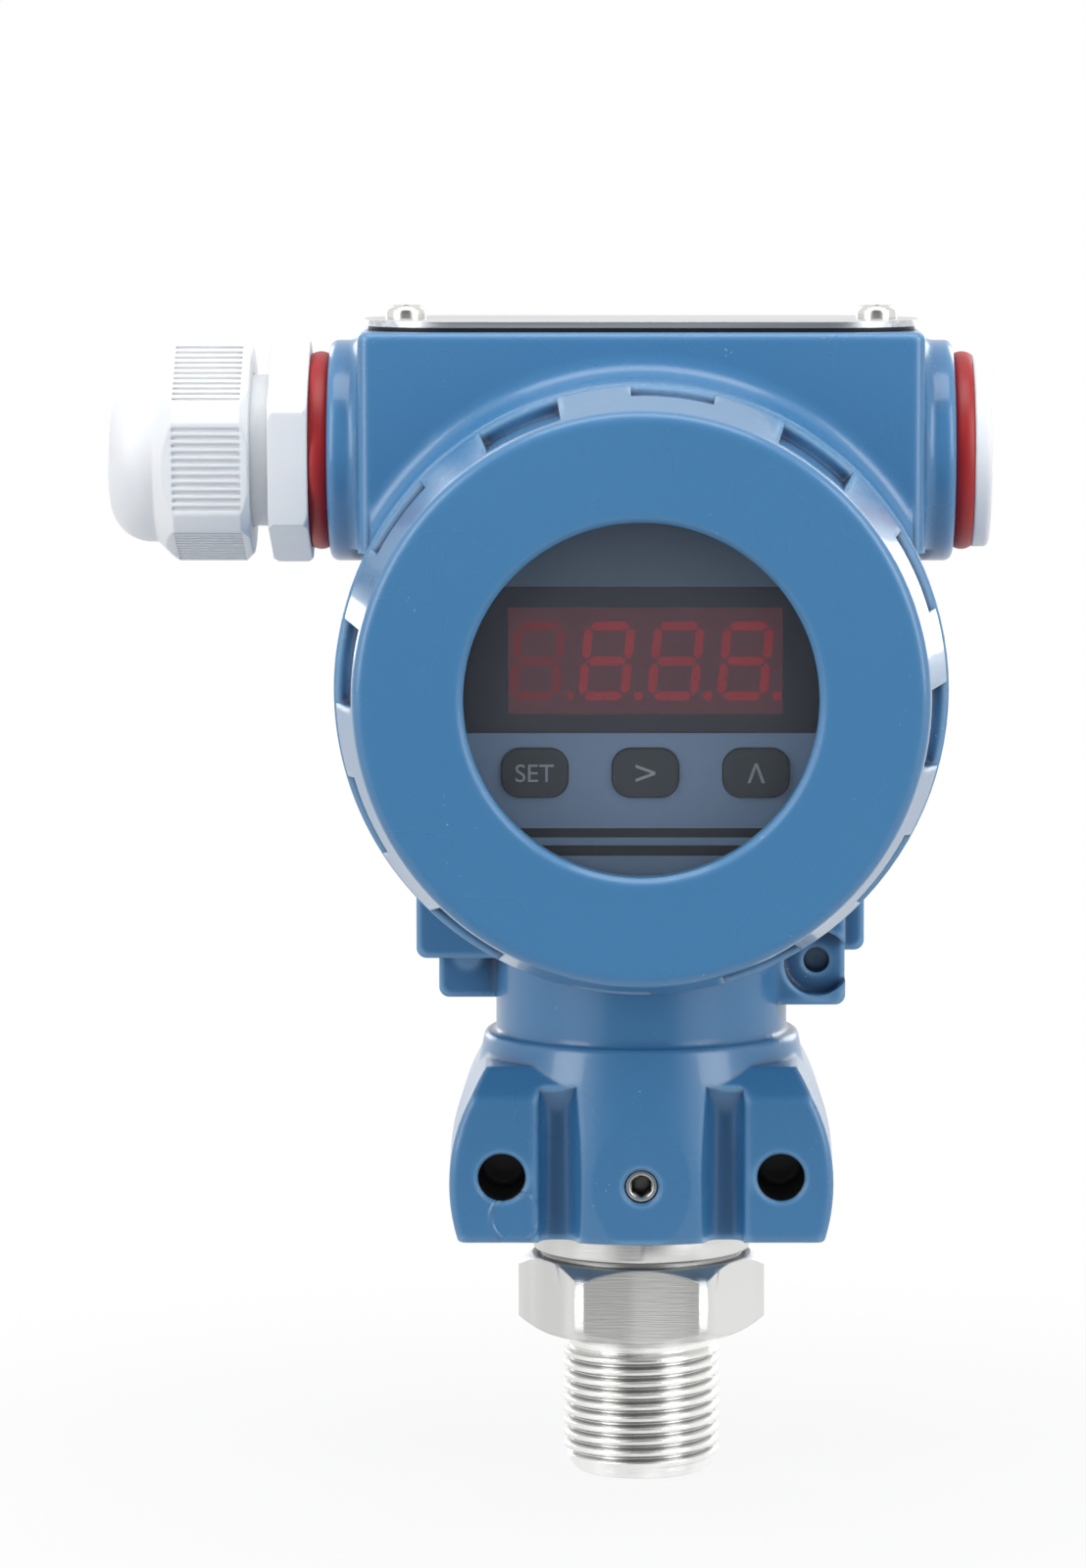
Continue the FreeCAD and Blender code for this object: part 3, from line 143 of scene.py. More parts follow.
class Finish:
    """A material, or the world, while it is being wired."""

    def __init__(self, name, world=None):
        self.material = world or bpy.data.materials.new(name)
        self.material.use_nodes = True
        self.tree = self.material.node_tree
        self.tree.nodes.clear()
        self.output = self.tree.nodes.new("ShaderNodeOutput" + ("World" if world else "Material"))
        self.place = self.add("ShaderNodeTexCoord", out="Object")

    def add(self, kind, settings=None, values=(), out=0):
        """Adds a node, sets it up, fills its inputs and returns one of its outputs."""
        node = self.tree.nodes.new(kind)
        for name, value in (settings or {}).items():
            setattr(node, name, value)
        for key, value in values.items() if isinstance(values, dict) else enumerate(values):
            if isinstance(value, Wire):
                self.tree.links.new(value.socket, node.inputs[key])
            else:
                node.inputs[key].default_value = value
        return Wire(self, node.outputs[out])

    def noise(self, scale, detail=2.0, stretch=None):
        place = self.place
        if stretch:
            place = self.add("ShaderNodeMapping", None, {"Vector": place, "Scale": stretch})
        return self.add("ShaderNodeTexNoise", None, {"Vector": place, "Scale": scale, "Detail": detail})

    def axes(self):
        """The x, y and z of the point, in metres."""
        split = self.add("ShaderNodeSeparateXYZ", None, {"Vector": self.place}).socket.node
        return [Wire(self, socket) for socket in split.outputs]

    def blend(self, first, second, factor):
        """A colour between two colours."""
        return self.add("ShaderNodeMix", {"data_type": "RGBA"}, {0: factor, 6: first, 7: second}, out=2)

    def relief(self, height, depth, normal=None):
        """A bump of some depth in metres from a height between 0 and 1."""
        values = {"Height": height, "Distance": depth}
        if normal:
            values["Normal"] = normal
        return self.add("ShaderNodeBump", None, values)

    def soft_edges(self, radius):
        """Lets light round off sharp edges, as paint, moulding or tumbling does."""
        return self.add("ShaderNodeBevel", {"samples": 6}, {"Radius": radius})

    def closeness(self, reach, inside=False):
        """How much of the piece's own surface is near: high in its hollows or, inside, at its edges."""
        settings = {"inside": inside, "only_local": True, "samples": 8}
        return 1 - self.add("ShaderNodeAmbientOcclusion", settings, {"Distance": reach}, out=1)

    def surface(self, **sockets):
        """A Principled shader. Underscores in the names stand for spaces."""
        values = {name.replace("_", " "): value for name, value in sockets.items()}
        return self.add("ShaderNodeBsdfPrincipled", None, values)

    def done(self, shader):
        self.tree.links.new(shader.socket, self.output.inputs["Surface"])
        return self.material


def tint(red, green, blue):
    """A colour given as 0 to 255 on screen, turned into the linear values that shaders use."""
    def linear(value):
        value = value / 255
        return value / 12.92 if value <= 0.04045 else ((value + 0.055) / 1.055) ** 2.4
    return (linear(red), linear(green), linear(blue), 1.0)


def apart(across, along):
    """How far away a point is that lies so far across and so far along."""
    return (across * across + along * along) ** 0.5


# %% [markdown]
# ## The studio
# The background is white, and the object keeps a soft shadow on a pale floor. The floor and the world
# turn plain white only for the camera, for panes of glass and for reflections, so that they don't flood
# the object with light. Away from the object the floor fades into the white. Reflections also find the
# unlit part of the room, behind the camera: without it, steel has nothing dark to mirror and looks like
# grey paint. Two tall softboxes stand left and right, a broad one hangs above, and two narrower ones
# stand behind, where they edge the rims with light.

# %% Set up the floor, the world and the lamps
MM = 0.001
MIDDLE = (0.0, 0.0, 0.09)
PLAIN_WHITE = (1.0, 1.0, 1.0, 1.0)
UNLIT_STRENGTH = 0.2
UNLIT_SLOPES = (0.42, 0.72)
FLOOR_SIZE = 6.0
FLOOR_HEIGHT = -0.5 * MM
SKY_COLOUR, SKY_STRENGTH = (0.95, 0.97, 1.0, 1.0), 0.42
SOFTBOXES = {
    "left_softbox": ((-0.75, -0.55, 0.42), 0.42, 0.8, 4.4),
    "right_softbox": ((0.75, -0.55, 0.42), 0.42, 0.8, 4.4),
    "top_softbox": ((0.0, -0.25, 0.95), 0.8, 0.5, 4.6),
    "left_rim_softbox": ((-0.42, 0.75, 0.36), 0.25, 0.6, 1.6),
    "right_rim_softbox": ((0.42, 0.75, 0.36), 0.25, 0.6, 1.6),
}


def unlit_room(x, y):
    """1 towards the unlit part of the room, behind the camera, and 0 elsewhere."""
    ahead = y * -1.0
    aside = abs(x) / ahead.at_least(MM)
    return (1 - aside.ramp(*UNLIT_SLOPES)) * (ahead > 0.0)


def white_for_lenses(finish, lit, white, dark, unlit, share=1.0):
    """Plain white for the camera and for glass, white or dark for reflections, and lit for the rest."""
    path = finish.add("ShaderNodeLightPath").socket.node
    camera_ray, glossy_ray, glass_ray = [
        Wire(finish, path.outputs["Is %s Ray" % ray]) for ray in ("Camera", "Glossy", "Transmission")]
    plain = camera_ray.at_least(glass_ray)
    mirrored = finish.add("ShaderNodeMixShader", None, {0: unlit, 1: white, 2: dark})
    for_steel = finish.add("ShaderNodeMixShader", None, {0: glossy_ray, 1: lit, 2: mirrored})
    return finish.add("ShaderNodeMixShader", None, {0: plain * share, 1: for_steel, 2: white})


floor_mesh = bmesh.new()
bmesh.ops.create_grid(floor_mesh, x_segments=1, y_segments=1, size=FLOOR_SIZE)
floor_data = bpy.data.meshes.new("floor")
floor_mesh.to_mesh(floor_data)
floor = bpy.data.objects.new("floor", floor_data)
floor.location = (0.0, 0.0, FLOOR_HEIGHT)
bpy.context.scene.collection.objects.link(floor)
floor_paint = Finish("floor_paint")
floor_x, floor_y, _ = floor_paint.axes()
from_object = apart(floor_x, floor_y)
floor_lit = floor_paint.surface(Base_Color=tint(190, 191, 193), Roughness=0.9, Specular_IOR_Level=0.0)
floor_white = floor_paint.add("ShaderNodeEmission", None, {"Color": PLAIN_WHITE, "Strength": 1.0})
floor_dark = floor_paint.add("ShaderNodeEmission", None,
                             {"Color": PLAIN_WHITE, "Strength": UNLIT_STRENGTH})
floor_share = from_object.ramp(20 * MM, 160 * MM) * 0.1 + 0.9
floor_unlit = unlit_room(floor_x, floor_y) * from_object.ramp(60 * MM, 220 * MM)
floor_data.materials.append(floor_paint.done(
    white_for_lenses(floor_paint, floor_lit, floor_white, floor_dark, floor_unlit, floor_share)))

studio = bpy.data.worlds.new("studio")
bpy.context.scene.world = studio
sky = Finish("sky", studio)
sky_lit = sky.add("ShaderNodeBackground", None, {"Color": SKY_COLOUR, "Strength": SKY_STRENGTH})
sky_white = sky.add("ShaderNodeBackground", None, {"Color": PLAIN_WHITE, "Strength": 1.0})
sky_dark = sky.add("ShaderNodeBackground", None, {"Color": PLAIN_WHITE, "Strength": UNLIT_STRENGTH})
towards_x, towards_y, _ = sky.axes()
sky.done(white_for_lenses(sky, sky_lit, sky_white, sky_dark, unlit_room(towards_x, towards_y)))


def softbox(name, place, width, height, power):
    """An area lamp that looks at the middle of the object."""
    light = bpy.data.lights.new(name, "AREA")
    light.shape = "RECTANGLE"
    light.size, light.size_y = width, height
    light.energy = power
    lamp = bpy.data.objects.new(name, light)
    lamp.location = place
    lamp.rotation_euler = (Vector(MIDDLE) - Vector(place)).to_track_quat("-Z", "Y").to_euler()
    lamp.visible_camera = False
    bpy.context.scene.collection.objects.link(lamp)


for softbox_name, (place, width, height, power) in SOFTBOXES.items():
    softbox(softbox_name, place, width, height, power)

# %% [markdown]
# ## Blue enamel
# The housing and both covers are aluminium castings under a thick glossy enamel. Its colour carries painted
# light: a painted highlight makes it paler over edges, and painted shade makes it darker in hollows. An
# occlusion node finds both: looking outwards it finds hollows, and looking inwards it finds edges. Edges
# are also rounded by the shader, the surface has the faint waviness that painters call orange peel, and a
# few dust specks are caught in it. The housing also has the round ejector mark of its mould on the left
# lug, as a shallow ring in the same bump, and the paint leaves out the holes in the lugs, which are
# coloured near black as painted shade.

# %% Mix the enamel
ENAMEL = tint(61, 118, 164)
ENAMEL_PALE = tint(71, 128, 174)
# Painted light: a paler colour for a painted highlight on edges and a darker one for painted shade in
# hollows.
ENAMEL_PAINTED_HIGHLIGHT = tint(136, 184, 222)
ENAMEL_PAINTED_SHADE = tint(14, 44, 82)
HOLLOW_SHADE_REACH, EDGE_HIGHLIGHT_REACH = 4.5 * MM, 1.3 * MM
PAINT_EDGE, PAINT_WAVES = 1.2 * MM, 0.03 * MM
hole_x, hole_z, hole_r, hole_mouth = 17.5 * MM, 41.0 * MM, 3.0 * MM, 20.2 * MM
mark_x, mark_z, mark_r, mark_width = -15.8 * MM, 35.9 * MM, 3.1 * MM, 0.5 * MM
mark_depth, lug_face = 0.2 * MM, -19.0 * MM


def enamel(name, with_lugs=False):
    """Glossy enamel on a casting, with a painted highlight on its edges and painted shade in its hollows,
    and, where there are lugs, painted shade in the holes and the mould's mark.
    """
    paint = Finish(name)
    shade = paint.noise(14.0, 1.0).ramp(0.2, 0.8)
    grain = paint.noise(900.0, 1.0)
    specks = (paint.noise(2600.0, 0.0) > 0.82) * (paint.noise(160.0, 1.0) > 0.64)
    colour = paint.blend(ENAMEL, ENAMEL_PALE, shade * 0.55)
    # Painted shade: darker colour where an occlusion node finds hollows.
    colour = paint.blend(colour, ENAMEL_PAINTED_SHADE, paint.closeness(HOLLOW_SHADE_REACH).ramp(0.12, 0.75))
    # Painted highlight: paler colour where an occlusion node, looking inwards, finds edges.
    painted_edge_highlight = paint.closeness(EDGE_HIGHLIGHT_REACH, inside=True).ramp(0.08, 0.5)
    colour = paint.blend(colour, ENAMEL_PAINTED_HIGHLIGHT, painted_edge_highlight * 0.75)
    colour = paint.blend(colour, tint(170, 200, 225), specks * 0.4)
    height = paint.noise(330.0, 2.0) * 0.5 + grain * 0.12 + specks * 0.4
    normal = paint.relief(height, PAINT_WAVES, paint.soft_edges(PAINT_EDGE))
    if with_lugs:
        x, y, z = paint.axes()
        # Painted shade: the lug holes, which the paint leaves out, are coloured near black.
        painted_hole_shade = (apart(abs(x) - hole_x, z - hole_z) < hole_r) * (abs(y) < hole_mouth)
        colour = paint.blend(colour, tint(12, 12, 14), painted_hole_shade * 0.97)
        from_ring = abs(apart(x - mark_x, z - mark_z) - mark_r)
        ring = 1 - (from_ring / mark_width).ramp(0.0, 1.0)
        normal = paint.relief(ring * (y < lug_face), mark_depth, normal)
    return paint.done(paint.surface(
        Base_Color=colour, Roughness=0.24 + paint.noise(60.0, 3.0) * 0.08, Specular_IOR_Level=0.5,
        Coat_Weight=0.3, Coat_Roughness=0.06, Normal=normal))


housing_enamel = enamel("housing_enamel", with_lugs=True)
cover_enamel = enamel("cover_enamel")

# %% [markdown]
# ## Metals
# The process connection is turned from stainless hexagon bar and then brushed: fine scratches run round
# it and broad soft bands of light run up it. Its thread is cut, and shinier than the hexagon, and painted
# shade darkens its hollows. Screws are plated and smoother, with painted shade darkening their recesses,
# the nameplate is a sheet of anodised aluminium with its brushing along its length, and the posts inside
# are brass.

# %% Mix the metals
BRUSHED_FROM = 17.0 * MM
WORN_PLATING, PALE_STROKES = tint(150, 150, 148), tint(214, 216, 218)
# Painted shade for the hollows of the turned steel and of the plating.
STEEL_PAINTED_SHADE, PLATED_PAINTED_SHADE = tint(60, 58, 56), tint(16, 16, 17)


def turned_steel(name):
    """Cut steel below, on the thread, and brushed steel above it."""
    steel = Finish(name)
    _, _, z = steel.axes()
    brushed = z > BRUSHED_FROM
    lines = steel.noise(260.0, 4.0, (1.0, 1.0, 26.0))
    bands = steel.noise(120.0, 2.0, (1.0, 1.0, 0.12)).ramp(0.35, 0.65)
    colour = steel.blend(tint(230, 230, 228), tint(250, 250, 248), bands)
    colour = steel.blend(colour, steel.blend(tint(206, 206, 204), tint(226, 226, 224), bands), brushed)
    # Painted shade: darker colour in the hollows that an occlusion node finds.
    colour = steel.blend(colour, STEEL_PAINTED_SHADE, steel.closeness(1.6 * MM).ramp(0.3, 0.8) * 0.6)
    roughness = 0.15 + brushed * 0.16 + lines * 0.14
    normal = steel.relief(lines, 0.03 * MM, steel.soft_edges(0.4 * MM))
    return steel.done(steel.surface(Base_Color=colour, Metallic=1.0, Roughness=roughness, Normal=normal))


def plated_steel(name, colour, roughness):
    """A smooth plating, worn here and there, with painted shade darkening its recesses."""
    plate = Finish(name)
    wear = plate.noise(700.0, 3.0)
    shade = plate.blend(colour, WORN_PLATING, wear.ramp(0.55, 0.8) * 0.4)
    # Painted shade: near-black colour in the recesses that an occlusion node finds.
    shade = plate.blend(shade, PLATED_PAINTED_SHADE, plate.closeness(1.8 * MM).ramp(0.25, 0.6))
    normal = plate.relief(wear, 0.01 * MM, plate.soft_edges(0.15 * MM))
    return plate.done(plate.surface(Base_Color=shade, Metallic=1.0, Roughness=roughness + wear * 0.12,
                                    Normal=normal))


def brushed_sheet(name, colour):
    """Anodised sheet with strokes along x."""
    sheet = Finish(name)
    strokes = sheet.noise(300.0, 4.0, (0.05, 6.0, 6.0))
    shade = sheet.blend(colour, PALE_STROKES, strokes.ramp(0.35, 0.7))
    normal = sheet.relief(strokes, 0.012 * MM, sheet.soft_edges(0.1 * MM))
    return sheet.done(sheet.surface(Base_Color=shade, Metallic=1.0, Roughness=0.3 + strokes * 0.15,
                                    Normal=normal))


stainless = turned_steel("brushed_stainless")
fastener_steel = plated_steel("fastener_steel", tint(220, 220, 216), 0.16)
brass = plated_steel("post_brass", tint(205, 170, 95), 0.22)
plate_sheet = brushed_sheet("nameplate_sheet", tint(188, 190, 193))

# %% [markdown]
# ## Plastics and rubber
# The gland and the plug are moulded in white nylon, which lets a little light in and has a soft, waxy
# gloss. Their washers are deep red silicone. Seals and gaskets are black rubber, and the keys are a finer
# grey rubber. All share one recipe: a base colour with a slow drift, a fine moulded grain, and a roughness
# that wanders a little.

# %% Mix the moulded finishes
def moulded(name, colour, drift, roughness, grain=0.02 * MM, edge=0.3 * MM, soft=0.0):
    """A moulded piece, whose edges the shader rounds and whose inside takes in a share of the light."""
    mould = Finish(name)
    shade = mould.blend(colour, drift, mould.noise(45.0, 3.0).ramp(0.3, 0.75))
    fine = mould.noise(900.0, 2.0)
    normal = mould.relief(fine, grain, mould.soft_edges(edge))
    return mould.done(mould.surface(
        Base_Color=shade, Roughness=roughness + mould.noise(120.0, 2.0) * 0.12, Normal=normal,
        Subsurface_Weight=soft, Subsurface_Scale=2.0 * MM))


nylon = moulded("white_nylon", tint(239, 241, 243), tint(231, 233, 236), 0.34, edge=0.5 * MM, soft=0.1)
silicone = moulded("red_silicone", tint(176, 28, 30), tint(150, 20, 24), 0.38, soft=0.05)
black_rubber = moulded("black_rubber", tint(26, 26, 27), tint(36, 36, 37), 0.5)
key_rubber = moulded("key_rubber", tint(60, 65, 72), tint(70, 75, 82), 0.36, 0.01 * MM, 0.5 * MM)
black_plastic = moulded("black_plastic", tint(22, 22, 24), tint(30, 30, 32), 0.32)
terminal_plastic = moulded("terminal_plastic", tint(34, 92, 58), tint(28, 78, 50), 0.4)
sensor_ceramic = moulded("sensor_ceramic", tint(232, 228, 218), tint(222, 218, 208), 0.5,
                         0.01 * MM, 0.1 * MM)

# %% [markdown]
# ## Circuit boards
# A bare board has a green lacquer over copper tracks: the tracks show as slightly raised, paler lines.
# A checker of thin lines in two directions, broken by a coarse noise, is enough for boards
# that are only seen when a cover is off.

# %% Mix the board lacquer
TRACK_PITCH, TRACK_SHARE, TRACK_HEIGHT = 2.5 * MM, 0.32, 0.04 * MM


def lacquered_board(name):
    """Lacquer over tracks that run up in some areas and along in the others."""
    board = Finish(name)
    x, _, z = board.axes()
    along = (x / TRACK_PITCH).fraction() < TRACK_SHARE
    up = (z / TRACK_PITCH).fraction() < TRACK_SHARE
    area = board.noise(70.0, 1.0) > 0.5
    tracks = along * area + up * (1 - area)
    colour = board.blend(tint(18, 92, 50), tint(46, 130, 74), tracks)
    roughness = 0.28 + board.noise(300.0) * 0.1
    normal = board.relief(tracks, TRACK_HEIGHT)
    return board.done(board.surface(Base_Color=colour, Roughness=roughness, Normal=normal))


board_lacquer = lacquered_board("board_lacquer")

# %% [markdown]
# ## The display
# Behind the window sits a grey moulded panel with a dark filter strip over the digits. The panel is
# printed: its upper part is darker, the part round the keys paler, and two black bars run across
# below the keys. Printing lies flush, so it belongs in the colour and not in the mesh. The digits
# glow faintly through the filter, and the face of the LED block round them has a faint painted glow.

# %% Mix the display's finishes
window_low, window_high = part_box("window_glass")
axis_z = (window_low.z + window_high.z) / 2
PALER_EDGE = (-5.2 * MM, -4.8 * MM)
UPPER_BAR, LOWER_BAR = (-17.85 * MM, -16.7 * MM), (-20.1 * MM, -18.8 * MM)
PRINTED_FROM = -35.3 * MM
FIRST_DIGIT_END = -8.8 * MM


def printed_panel(name):
    """Moulded plastic with its printing. Heights are counted from the axis of the window."""
    panel = Finish(name)
    _, y, z = panel.axes()
    above = z - axis_z
    paler = 1 - above.ramp(*PALER_EDGE)
    bars = above.between(*UPPER_BAR) + above.between(*LOWER_BAR)
    front = y < PRINTED_FROM
    mottle = panel.noise(90.0, 3.0).ramp(0.3, 0.7)
    colour = panel.blend(tint(118, 138, 164), tint(124, 144, 170), mottle)
    colour = panel.blend(colour, tint(154, 184, 222), paler)
    colour = panel.blend(colour, tint(20, 21, 24), bars * front)
    grain = panel.noise(1500.0, 2.0)
    return panel.done(panel.surface(Base_Color=colour, Roughness=0.42 + grain * 0.1,
                                    Normal=panel.relief(grain, 0.01 * MM)))


def pane(name, tinted, base, gloss_roughness, weight):
    """A clear sheet: mostly see-through, with a weak body colour and a gloss that grows at a slant."""
    sheet = Finish(name)
    clear = sheet.add("ShaderNodeBsdfTransparent", None, {"Color": tinted})
    smear = sheet.noise(30.0, 3.0)
    gloss = sheet.surface(Base_Color=base, Roughness=gloss_roughness + smear * 0.03, Specular_IOR_Level=0.5)
    glance = sheet.add("ShaderNodeFresnel", None, {"IOR": 1.45})
    share = glance * 0.7 + weight
    return sheet.done(sheet.add("ShaderNodeMixShader", None, {0: share, 1: clear, 2: gloss}))


def led_finish(name, low, high, glow, first_digit=0.0):
    """Red plastic that glows, a little brighter here and there, with a dimmer first digit. On the lit
    segments the glow is their own light; on the face of the LED block it is painted light.
    """
    digit = Finish(name)
    x, _, _ = digit.axes()
    wander = digit.noise(160.0, 2.0).ramp(0.3, 0.7)
    dimmer = (x < FIRST_DIGIT_END) * first_digit
    colour = digit.blend(digit.blend(low, high, wander), tint(120, 26, 36), dimmer)
    return digit.done(digit.surface(Base_Color=colour, Roughness=0.35 + wander * 0.1,
                                    Emission_Color=colour, Emission_Strength=glow))


panel_print = printed_panel("display_print")
window_pane = pane("window_glass", (0.96, 0.97, 0.975, 1.0), tint(170, 178, 186), 0.02, 0.035)
filter_pane = pane("display_filter", (0.8, 0.72, 0.74, 1.0), tint(112, 118, 128), 0.2, 0.22)
# Painted light: the face of the LED block is no lamp, and its emission only brightens it.
led_face = led_finish("led_face", tint(142, 74, 82), tint(152, 80, 88), 0.45)
segment_glow = led_finish("segment_glow", tint(216, 40, 50), tint(226, 50, 58), 0.6, 0.5)

# %% [markdown]
# ## Which solid wears what
# Each solid that came from the CAD model keeps its mesh and gets one finish. A table by piece is easy to
# read and to change, and a solid that the table leaves out stops the script.

# %% Dress the solids
WORN_BY = {
    "housing": housing_enamel,
    "front_cover": cover_enamel, "rear_cover": cover_enamel,
    "front_cover_seal": black_rubber, "rear_cover_seal": black_rubber,
    "window_glass": window_pane, "window_gasket": black_rubber, "window_ring": plate_sheet,
    "display_panel": panel_print, "display_filter": filter_pane,
    "led_display": led_face, "digit_segments": segment_glow,
    "key_set": key_rubber, "key_shift": key_rubber, "key_up": key_rubber,
    "key_switches": black_plastic, "display_board": board_lacquer, "signal_board": board_lacquer,
    "standoffs": brass, "display_screws": fastener_steel, "signal_board_screws": fastener_steel,
    "terminal_block": terminal_plastic, "terminal_clamps": fastener_steel,
    "terminal_screws": fastener_steel, "terminal_block_screws": fastener_steel,
    "nameplate": plate_sheet, "nameplate_gasket": black_rubber, "nameplate_screws": fastener_steel,
    "process_connection": stainless, "sensor_cell": sensor_ceramic, "sensor_seal": black_rubber,
    "sensor_ring": stainless, "sensor_pins": fastener_steel, "lock_screw": fastener_steel,
    "gland_washer": silicone, "gland_body": nylon, "gland_nut": nylon, "gland_seal": black_rubber,
    "plug_washer": silicone, "plug": nylon,
}
for node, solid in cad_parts.items():
    solid.data.materials.clear()
    solid.data.materials.append(WORN_BY[node])
print("dressed:", len(WORN_BY), "finishes:", len(set(m.name for m in WORN_BY.values())))

# %% [markdown]
# ## The process thread
# A thread is one tooth profile wound round an axis while it climbs, so the Spin operator does it when it
# also lifts the profile a little at each step. After one turn the last profile lands exactly on the
# first one, one pitch up, and the two merge. Two planes then cut the ends square, the corners beyond the
# lead-in are drawn in, and a bored core closes the shape. The tools come first: they find an open rim,
# cut a shape at a height, and pull a rim to a new place.

# %% Tools for open shapes
SAME_PLACE = 1e-6


def finished_piece(name, shape, material, body):
    """Turns a bmesh into an object that rides on a body."""
    bmesh.ops.recalc_face_normals(shape, faces=shape.faces)
    data = bpy.data.meshes.new(name)
    shape.to_mesh(data)
    shape.free()
    data.materials.append(material)
    piece = bpy.data.objects.new(name, data)
    bpy.context.scene.collection.objects.link(piece)
    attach(piece, body)
    print(name, "faces:", len(data.polygons))
    return piece


def open_rim(shape, height):
    """Edges of the open rims at one height."""
    return [e for e in shape.edges
            if e.is_boundary and all(abs(v.co.z - height) < SAME_PLACE for v in e.verts)]


def cut_off(shape, height, up):
    """Cuts away what lies above a height or, when up is -1, below it."""
    bmesh.ops.bisect_plane(shape, geom=shape.verts[:] + shape.edges[:] + shape.faces[:],
                           plane_co=(0, 0, height), plane_no=(0, 0, up), clear_outer=True, dist=1e-7)


def pulled(shape, rim, place):
    """Extrudes a rim of edges, puts the new corners in their places and returns the new rim."""
    made = bmesh.ops.extrude_edge_only(shape, edges=rim)["geom"]
    corners = {v for v in made if isinstance(v, bmesh.types.BMVert)}
    for corner in corners:
        corner.co = place(corner.co)
    return [e for e in made if isinstance(e, bmesh.types.BMEdge) and all(v in corners for v in e.verts)]


def from_axis(corner):
    """How far a point is from the axis of the connection."""
    return Vector(corner[:2]).length


def on_ring(corner, radius, height):
    """The point in the same direction from the axis, at a radius and a height."""
    outwards = Vector((corner.x, corner.y, 0.0)).normalized() * radius
    return Vector((outwards.x, outwards.y, height))


def at_height(corner, height):
    """The point straight above or below."""
    return Vector((corner.x, corner.y, height))


# %% Wind the thread
thread_r, thread_pitch, thread_top = 10.0 * MM, 1.5 * MM, 16.3 * MM
relief_r, hex_bottom, port_r = 9.3 * MM, 18.3 * MM, 2.0 * MM
thread_depth = 0.57 * thread_pitch
tip_r, tip_length, tip_chamfer = 9.15 * MM, 1.3 * MM, 0.6 * MM
TURN_STEPS = 96

shaft = bmesh.new()
root_r = thread_r - thread_depth
tooth = [(0.0, root_r), (0.1, root_r), (0.38, thread_r), (0.72, thread_r)]
first_turn, last_turn = -2, int(thread_top / thread_pitch) + 2
profile = []
for turn in range(first_turn, last_turn + 1):
    for share, radius in tooth:
        profile.append(shaft.verts.new((radius, 0.0, (turn + share) * thread_pitch)))
line = [shaft.edges.new(pair) for pair in zip(profile, profile[1:])]
bmesh.ops.spin(shaft, geom=profile + line, axis=(0, 0, 1), cent=(0, 0, 0), angle=2 * math.pi,
               dvec=(0, 0, thread_pitch / TURN_STEPS), steps=TURN_STEPS)
bmesh.ops.remove_doubles(shaft, verts=shaft.verts, dist=SAME_PLACE)
cut_off(shaft, 0.0, -1.0)
cut_off(shaft, thread_top, 1.0)
for corner in shaft.verts:
    lead_in = tip_r - max(0.0, tip_chamfer - corner.co.z) + max(0.0, corner.co.z - tip_length)
    limit = min(lead_in, relief_r + max(0.0, thread_top - corner.co.z))
    if from_axis(corner.co) > limit or corner.co.z < tip_length:
        corner.co = on_ring(corner.co, limit, corner.co.z)
print("thread turns:", round(thread_top / thread_pitch, 1))

# %% Close the shaft with its bore and its relief
port = bmesh.ops.create_circle(shaft, cap_ends=False, radius=port_r, segments=TURN_STEPS)["verts"]
port_edges = [e for e in shaft.edges if all(v in set(port) for v in e.verts)]
end_rim = [e for e in open_rim(shaft, 0.0) if e not in set(port_edges)]
bmesh.ops.bridge_loops(shaft, edges=end_rim + port_edges)
bore_top = pulled(shaft, port_edges, lambda corner: at_height(corner, hex_bottom))
relief_top = pulled(shaft, open_rim(shaft, thread_top),
                    lambda corner: on_ring(corner, relief_r, hex_bottom))
bmesh.ops.bridge_loops(shaft, edges=bore_top + relief_top)
print("open edges left:", sum(e.is_boundary for e in shaft.edges))
process_thread = finished_piece("process_thread", shaft, stainless, "housing")

# %% [markdown]
# ## The hexagon
# Hexagon bar is faced off in a lathe with a slanted tool, which takes the corners down in a cone, so each
# flat ends below in an arc. The foot of the solid's hexagon is cut off a copy of its mesh, and the rim
# that stays is pulled down again: first along the flats to the cone, then down the cone, then inwards.

# %% Keep the hexagon and the collar of the solid, and chamfer its foot
cone_foot_r, cone_slope, foot_height = 13.4 * MM, 0.58, hex_bottom + 2.0 * MM
FLAT_CUTS = 3


def down_to_cone(corner):
    """The point straight below, on the cone that the tool cuts."""
    return at_height(corner, hex_bottom + (from_axis(corner) - cone_foot_r) * cone_slope)


def hexagon_rim(shape):
    """Edges of the outer rim at the cut, without the wall of the bore."""
    return [e for e in open_rim(shape, foot_height) if from_axis(e.verts[0].co) > cone_foot_r]


upper = bmesh.new()
upper.from_mesh(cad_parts["process_connection"].data)
bmesh.ops.remove_doubles(upper, verts=upper.verts, dist=SAME_PLACE)
cut_off(upper, foot_height, -1.0)
bmesh.ops.subdivide_edges(upper, edges=hexagon_rim(upper), cuts=FLAT_CUTS)
flats = hexagon_rim(upper)
wall = [e for e in open_rim(upper, foot_height) if e not in set(flats)]
cone_top = pulled(upper, flats, down_to_cone)
cone_foot = pulled(upper, cone_top, lambda corner: on_ring(corner, cone_foot_r, hex_bottom))
face_edge = pulled(upper, cone_foot, lambda corner: on_ring(corner, relief_r, hex_bottom))
wall_foot = pulled(upper, wall, lambda corner: at_height(corner, hex_bottom))
bmesh.ops.bridge_loops(upper, edges=face_edge + wall_foot)
print("rim edges:", len(flats), len(wall), "open edges left:", sum(e.is_boundary for e in upper.edges))
hexagon = finished_piece("process_hexagon", upper, stainless, "housing")
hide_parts("process_connection")
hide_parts("process_connection")

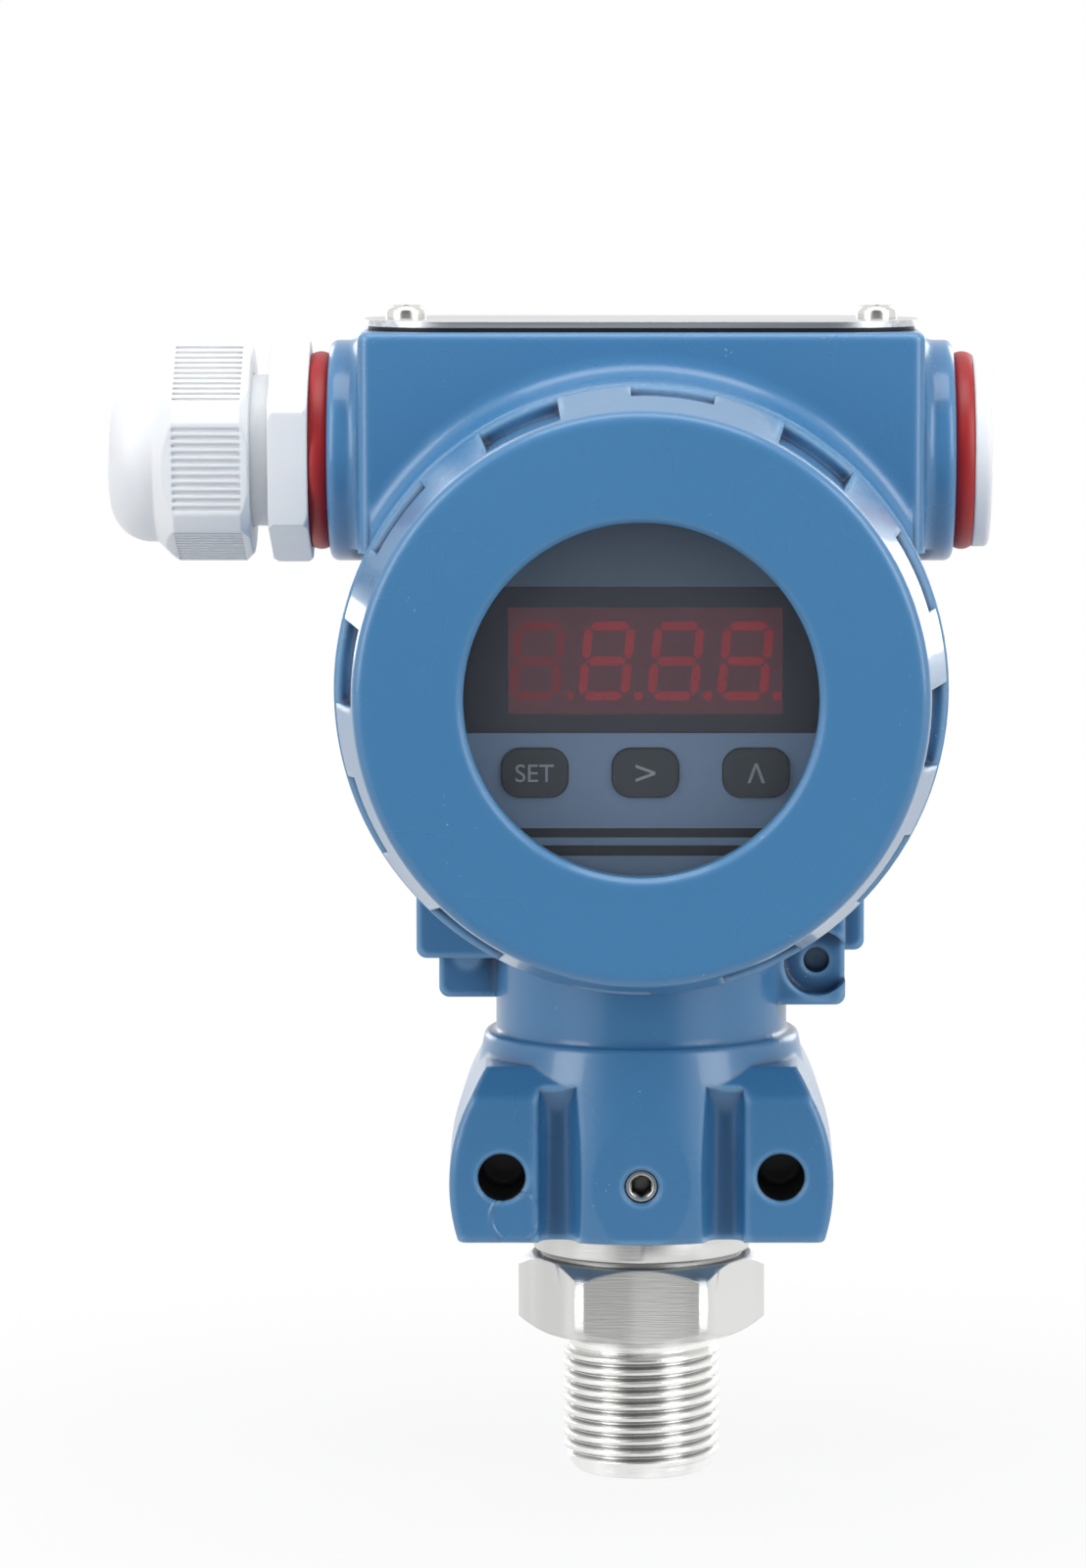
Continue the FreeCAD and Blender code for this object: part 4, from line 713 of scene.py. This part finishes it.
# %% [markdown]
# ## Marks on the keys
# The three keys carry light marks: the word SET, an arrow to the right and one that points up. They
# are text turned into mesh, a few hundredths of a millimetre thick, and each rides on its own key, so
# it goes in when the key is pressed.

# %% Mark the keys
mark_paint = moulded("mark_paint", tint(196, 200, 206), tint(184, 188, 194), 0.5, 0.005 * MM, 0.01 * MM)
MARK_HALF, MARK_GAP = 0.01 * MM, 0.001 * MM
WORD_SIZE, ARROW_SIZE, ARROW_STRETCH = 3.1 * MM, 4.4 * MM, 1.15


def key_mark(name, words, key_name, size, turn=0.0, stretch=1.0):
    """Flat text on the front of a key, as a mesh."""
    curve = bpy.data.curves.new(name + "_text", "FONT")
    curve.body = words
    curve.size = size
    curve.align_x = "CENTER"
    curve.align_y = "CENTER"
    curve.extrude = MARK_HALF
    curve.resolution_u = 6
    holder = bpy.data.objects.new(name + "_text", curve)
    bpy.context.scene.collection.objects.link(holder)
    bpy.context.view_layer.update()
    data = bpy.data.meshes.new_from_object(holder)
    bpy.data.objects.remove(holder)
    shape = bmesh.new()
    shape.from_mesh(data)
    bmesh.ops.remove_doubles(shape, verts=shape.verts, dist=1e-7)
    low = [min(v.co[i] for v in shape.verts) for i in range(2)]
    high = [max(v.co[i] for v in shape.verts) for i in range(2)]
    to_centre = (-(low[0] + high[0]) / 2, -(low[1] + high[1]) / 2, 0)
    bmesh.ops.translate(shape, verts=shape.verts, vec=to_centre)
    bmesh.ops.scale(shape, verts=shape.verts, vec=(stretch, 1.0, 1.0))
    key_low, key_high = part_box(key_name)
    front = (key_low + key_high) / 2
    front.y = key_low.y - MARK_HALF - MARK_GAP
    stand = Matrix.Rotation(turn, 3, "Y") @ Matrix.Rotation(math.pi / 2, 3, "X")
    bmesh.ops.rotate(shape, verts=shape.verts, cent=(0, 0, 0), matrix=stand)
    bmesh.ops.translate(shape, verts=shape.verts, vec=front)
    finished_piece(name, shape, mark_paint, key_name)


key_mark("mark_set", "SET", "key_set", WORD_SIZE)
key_mark("mark_shift", ">", "key_shift", ARROW_SIZE, stretch=ARROW_STRETCH)
key_mark("mark_up", ">", "key_up", ARROW_SIZE, turn=-math.pi / 2, stretch=ARROW_STRETCH)
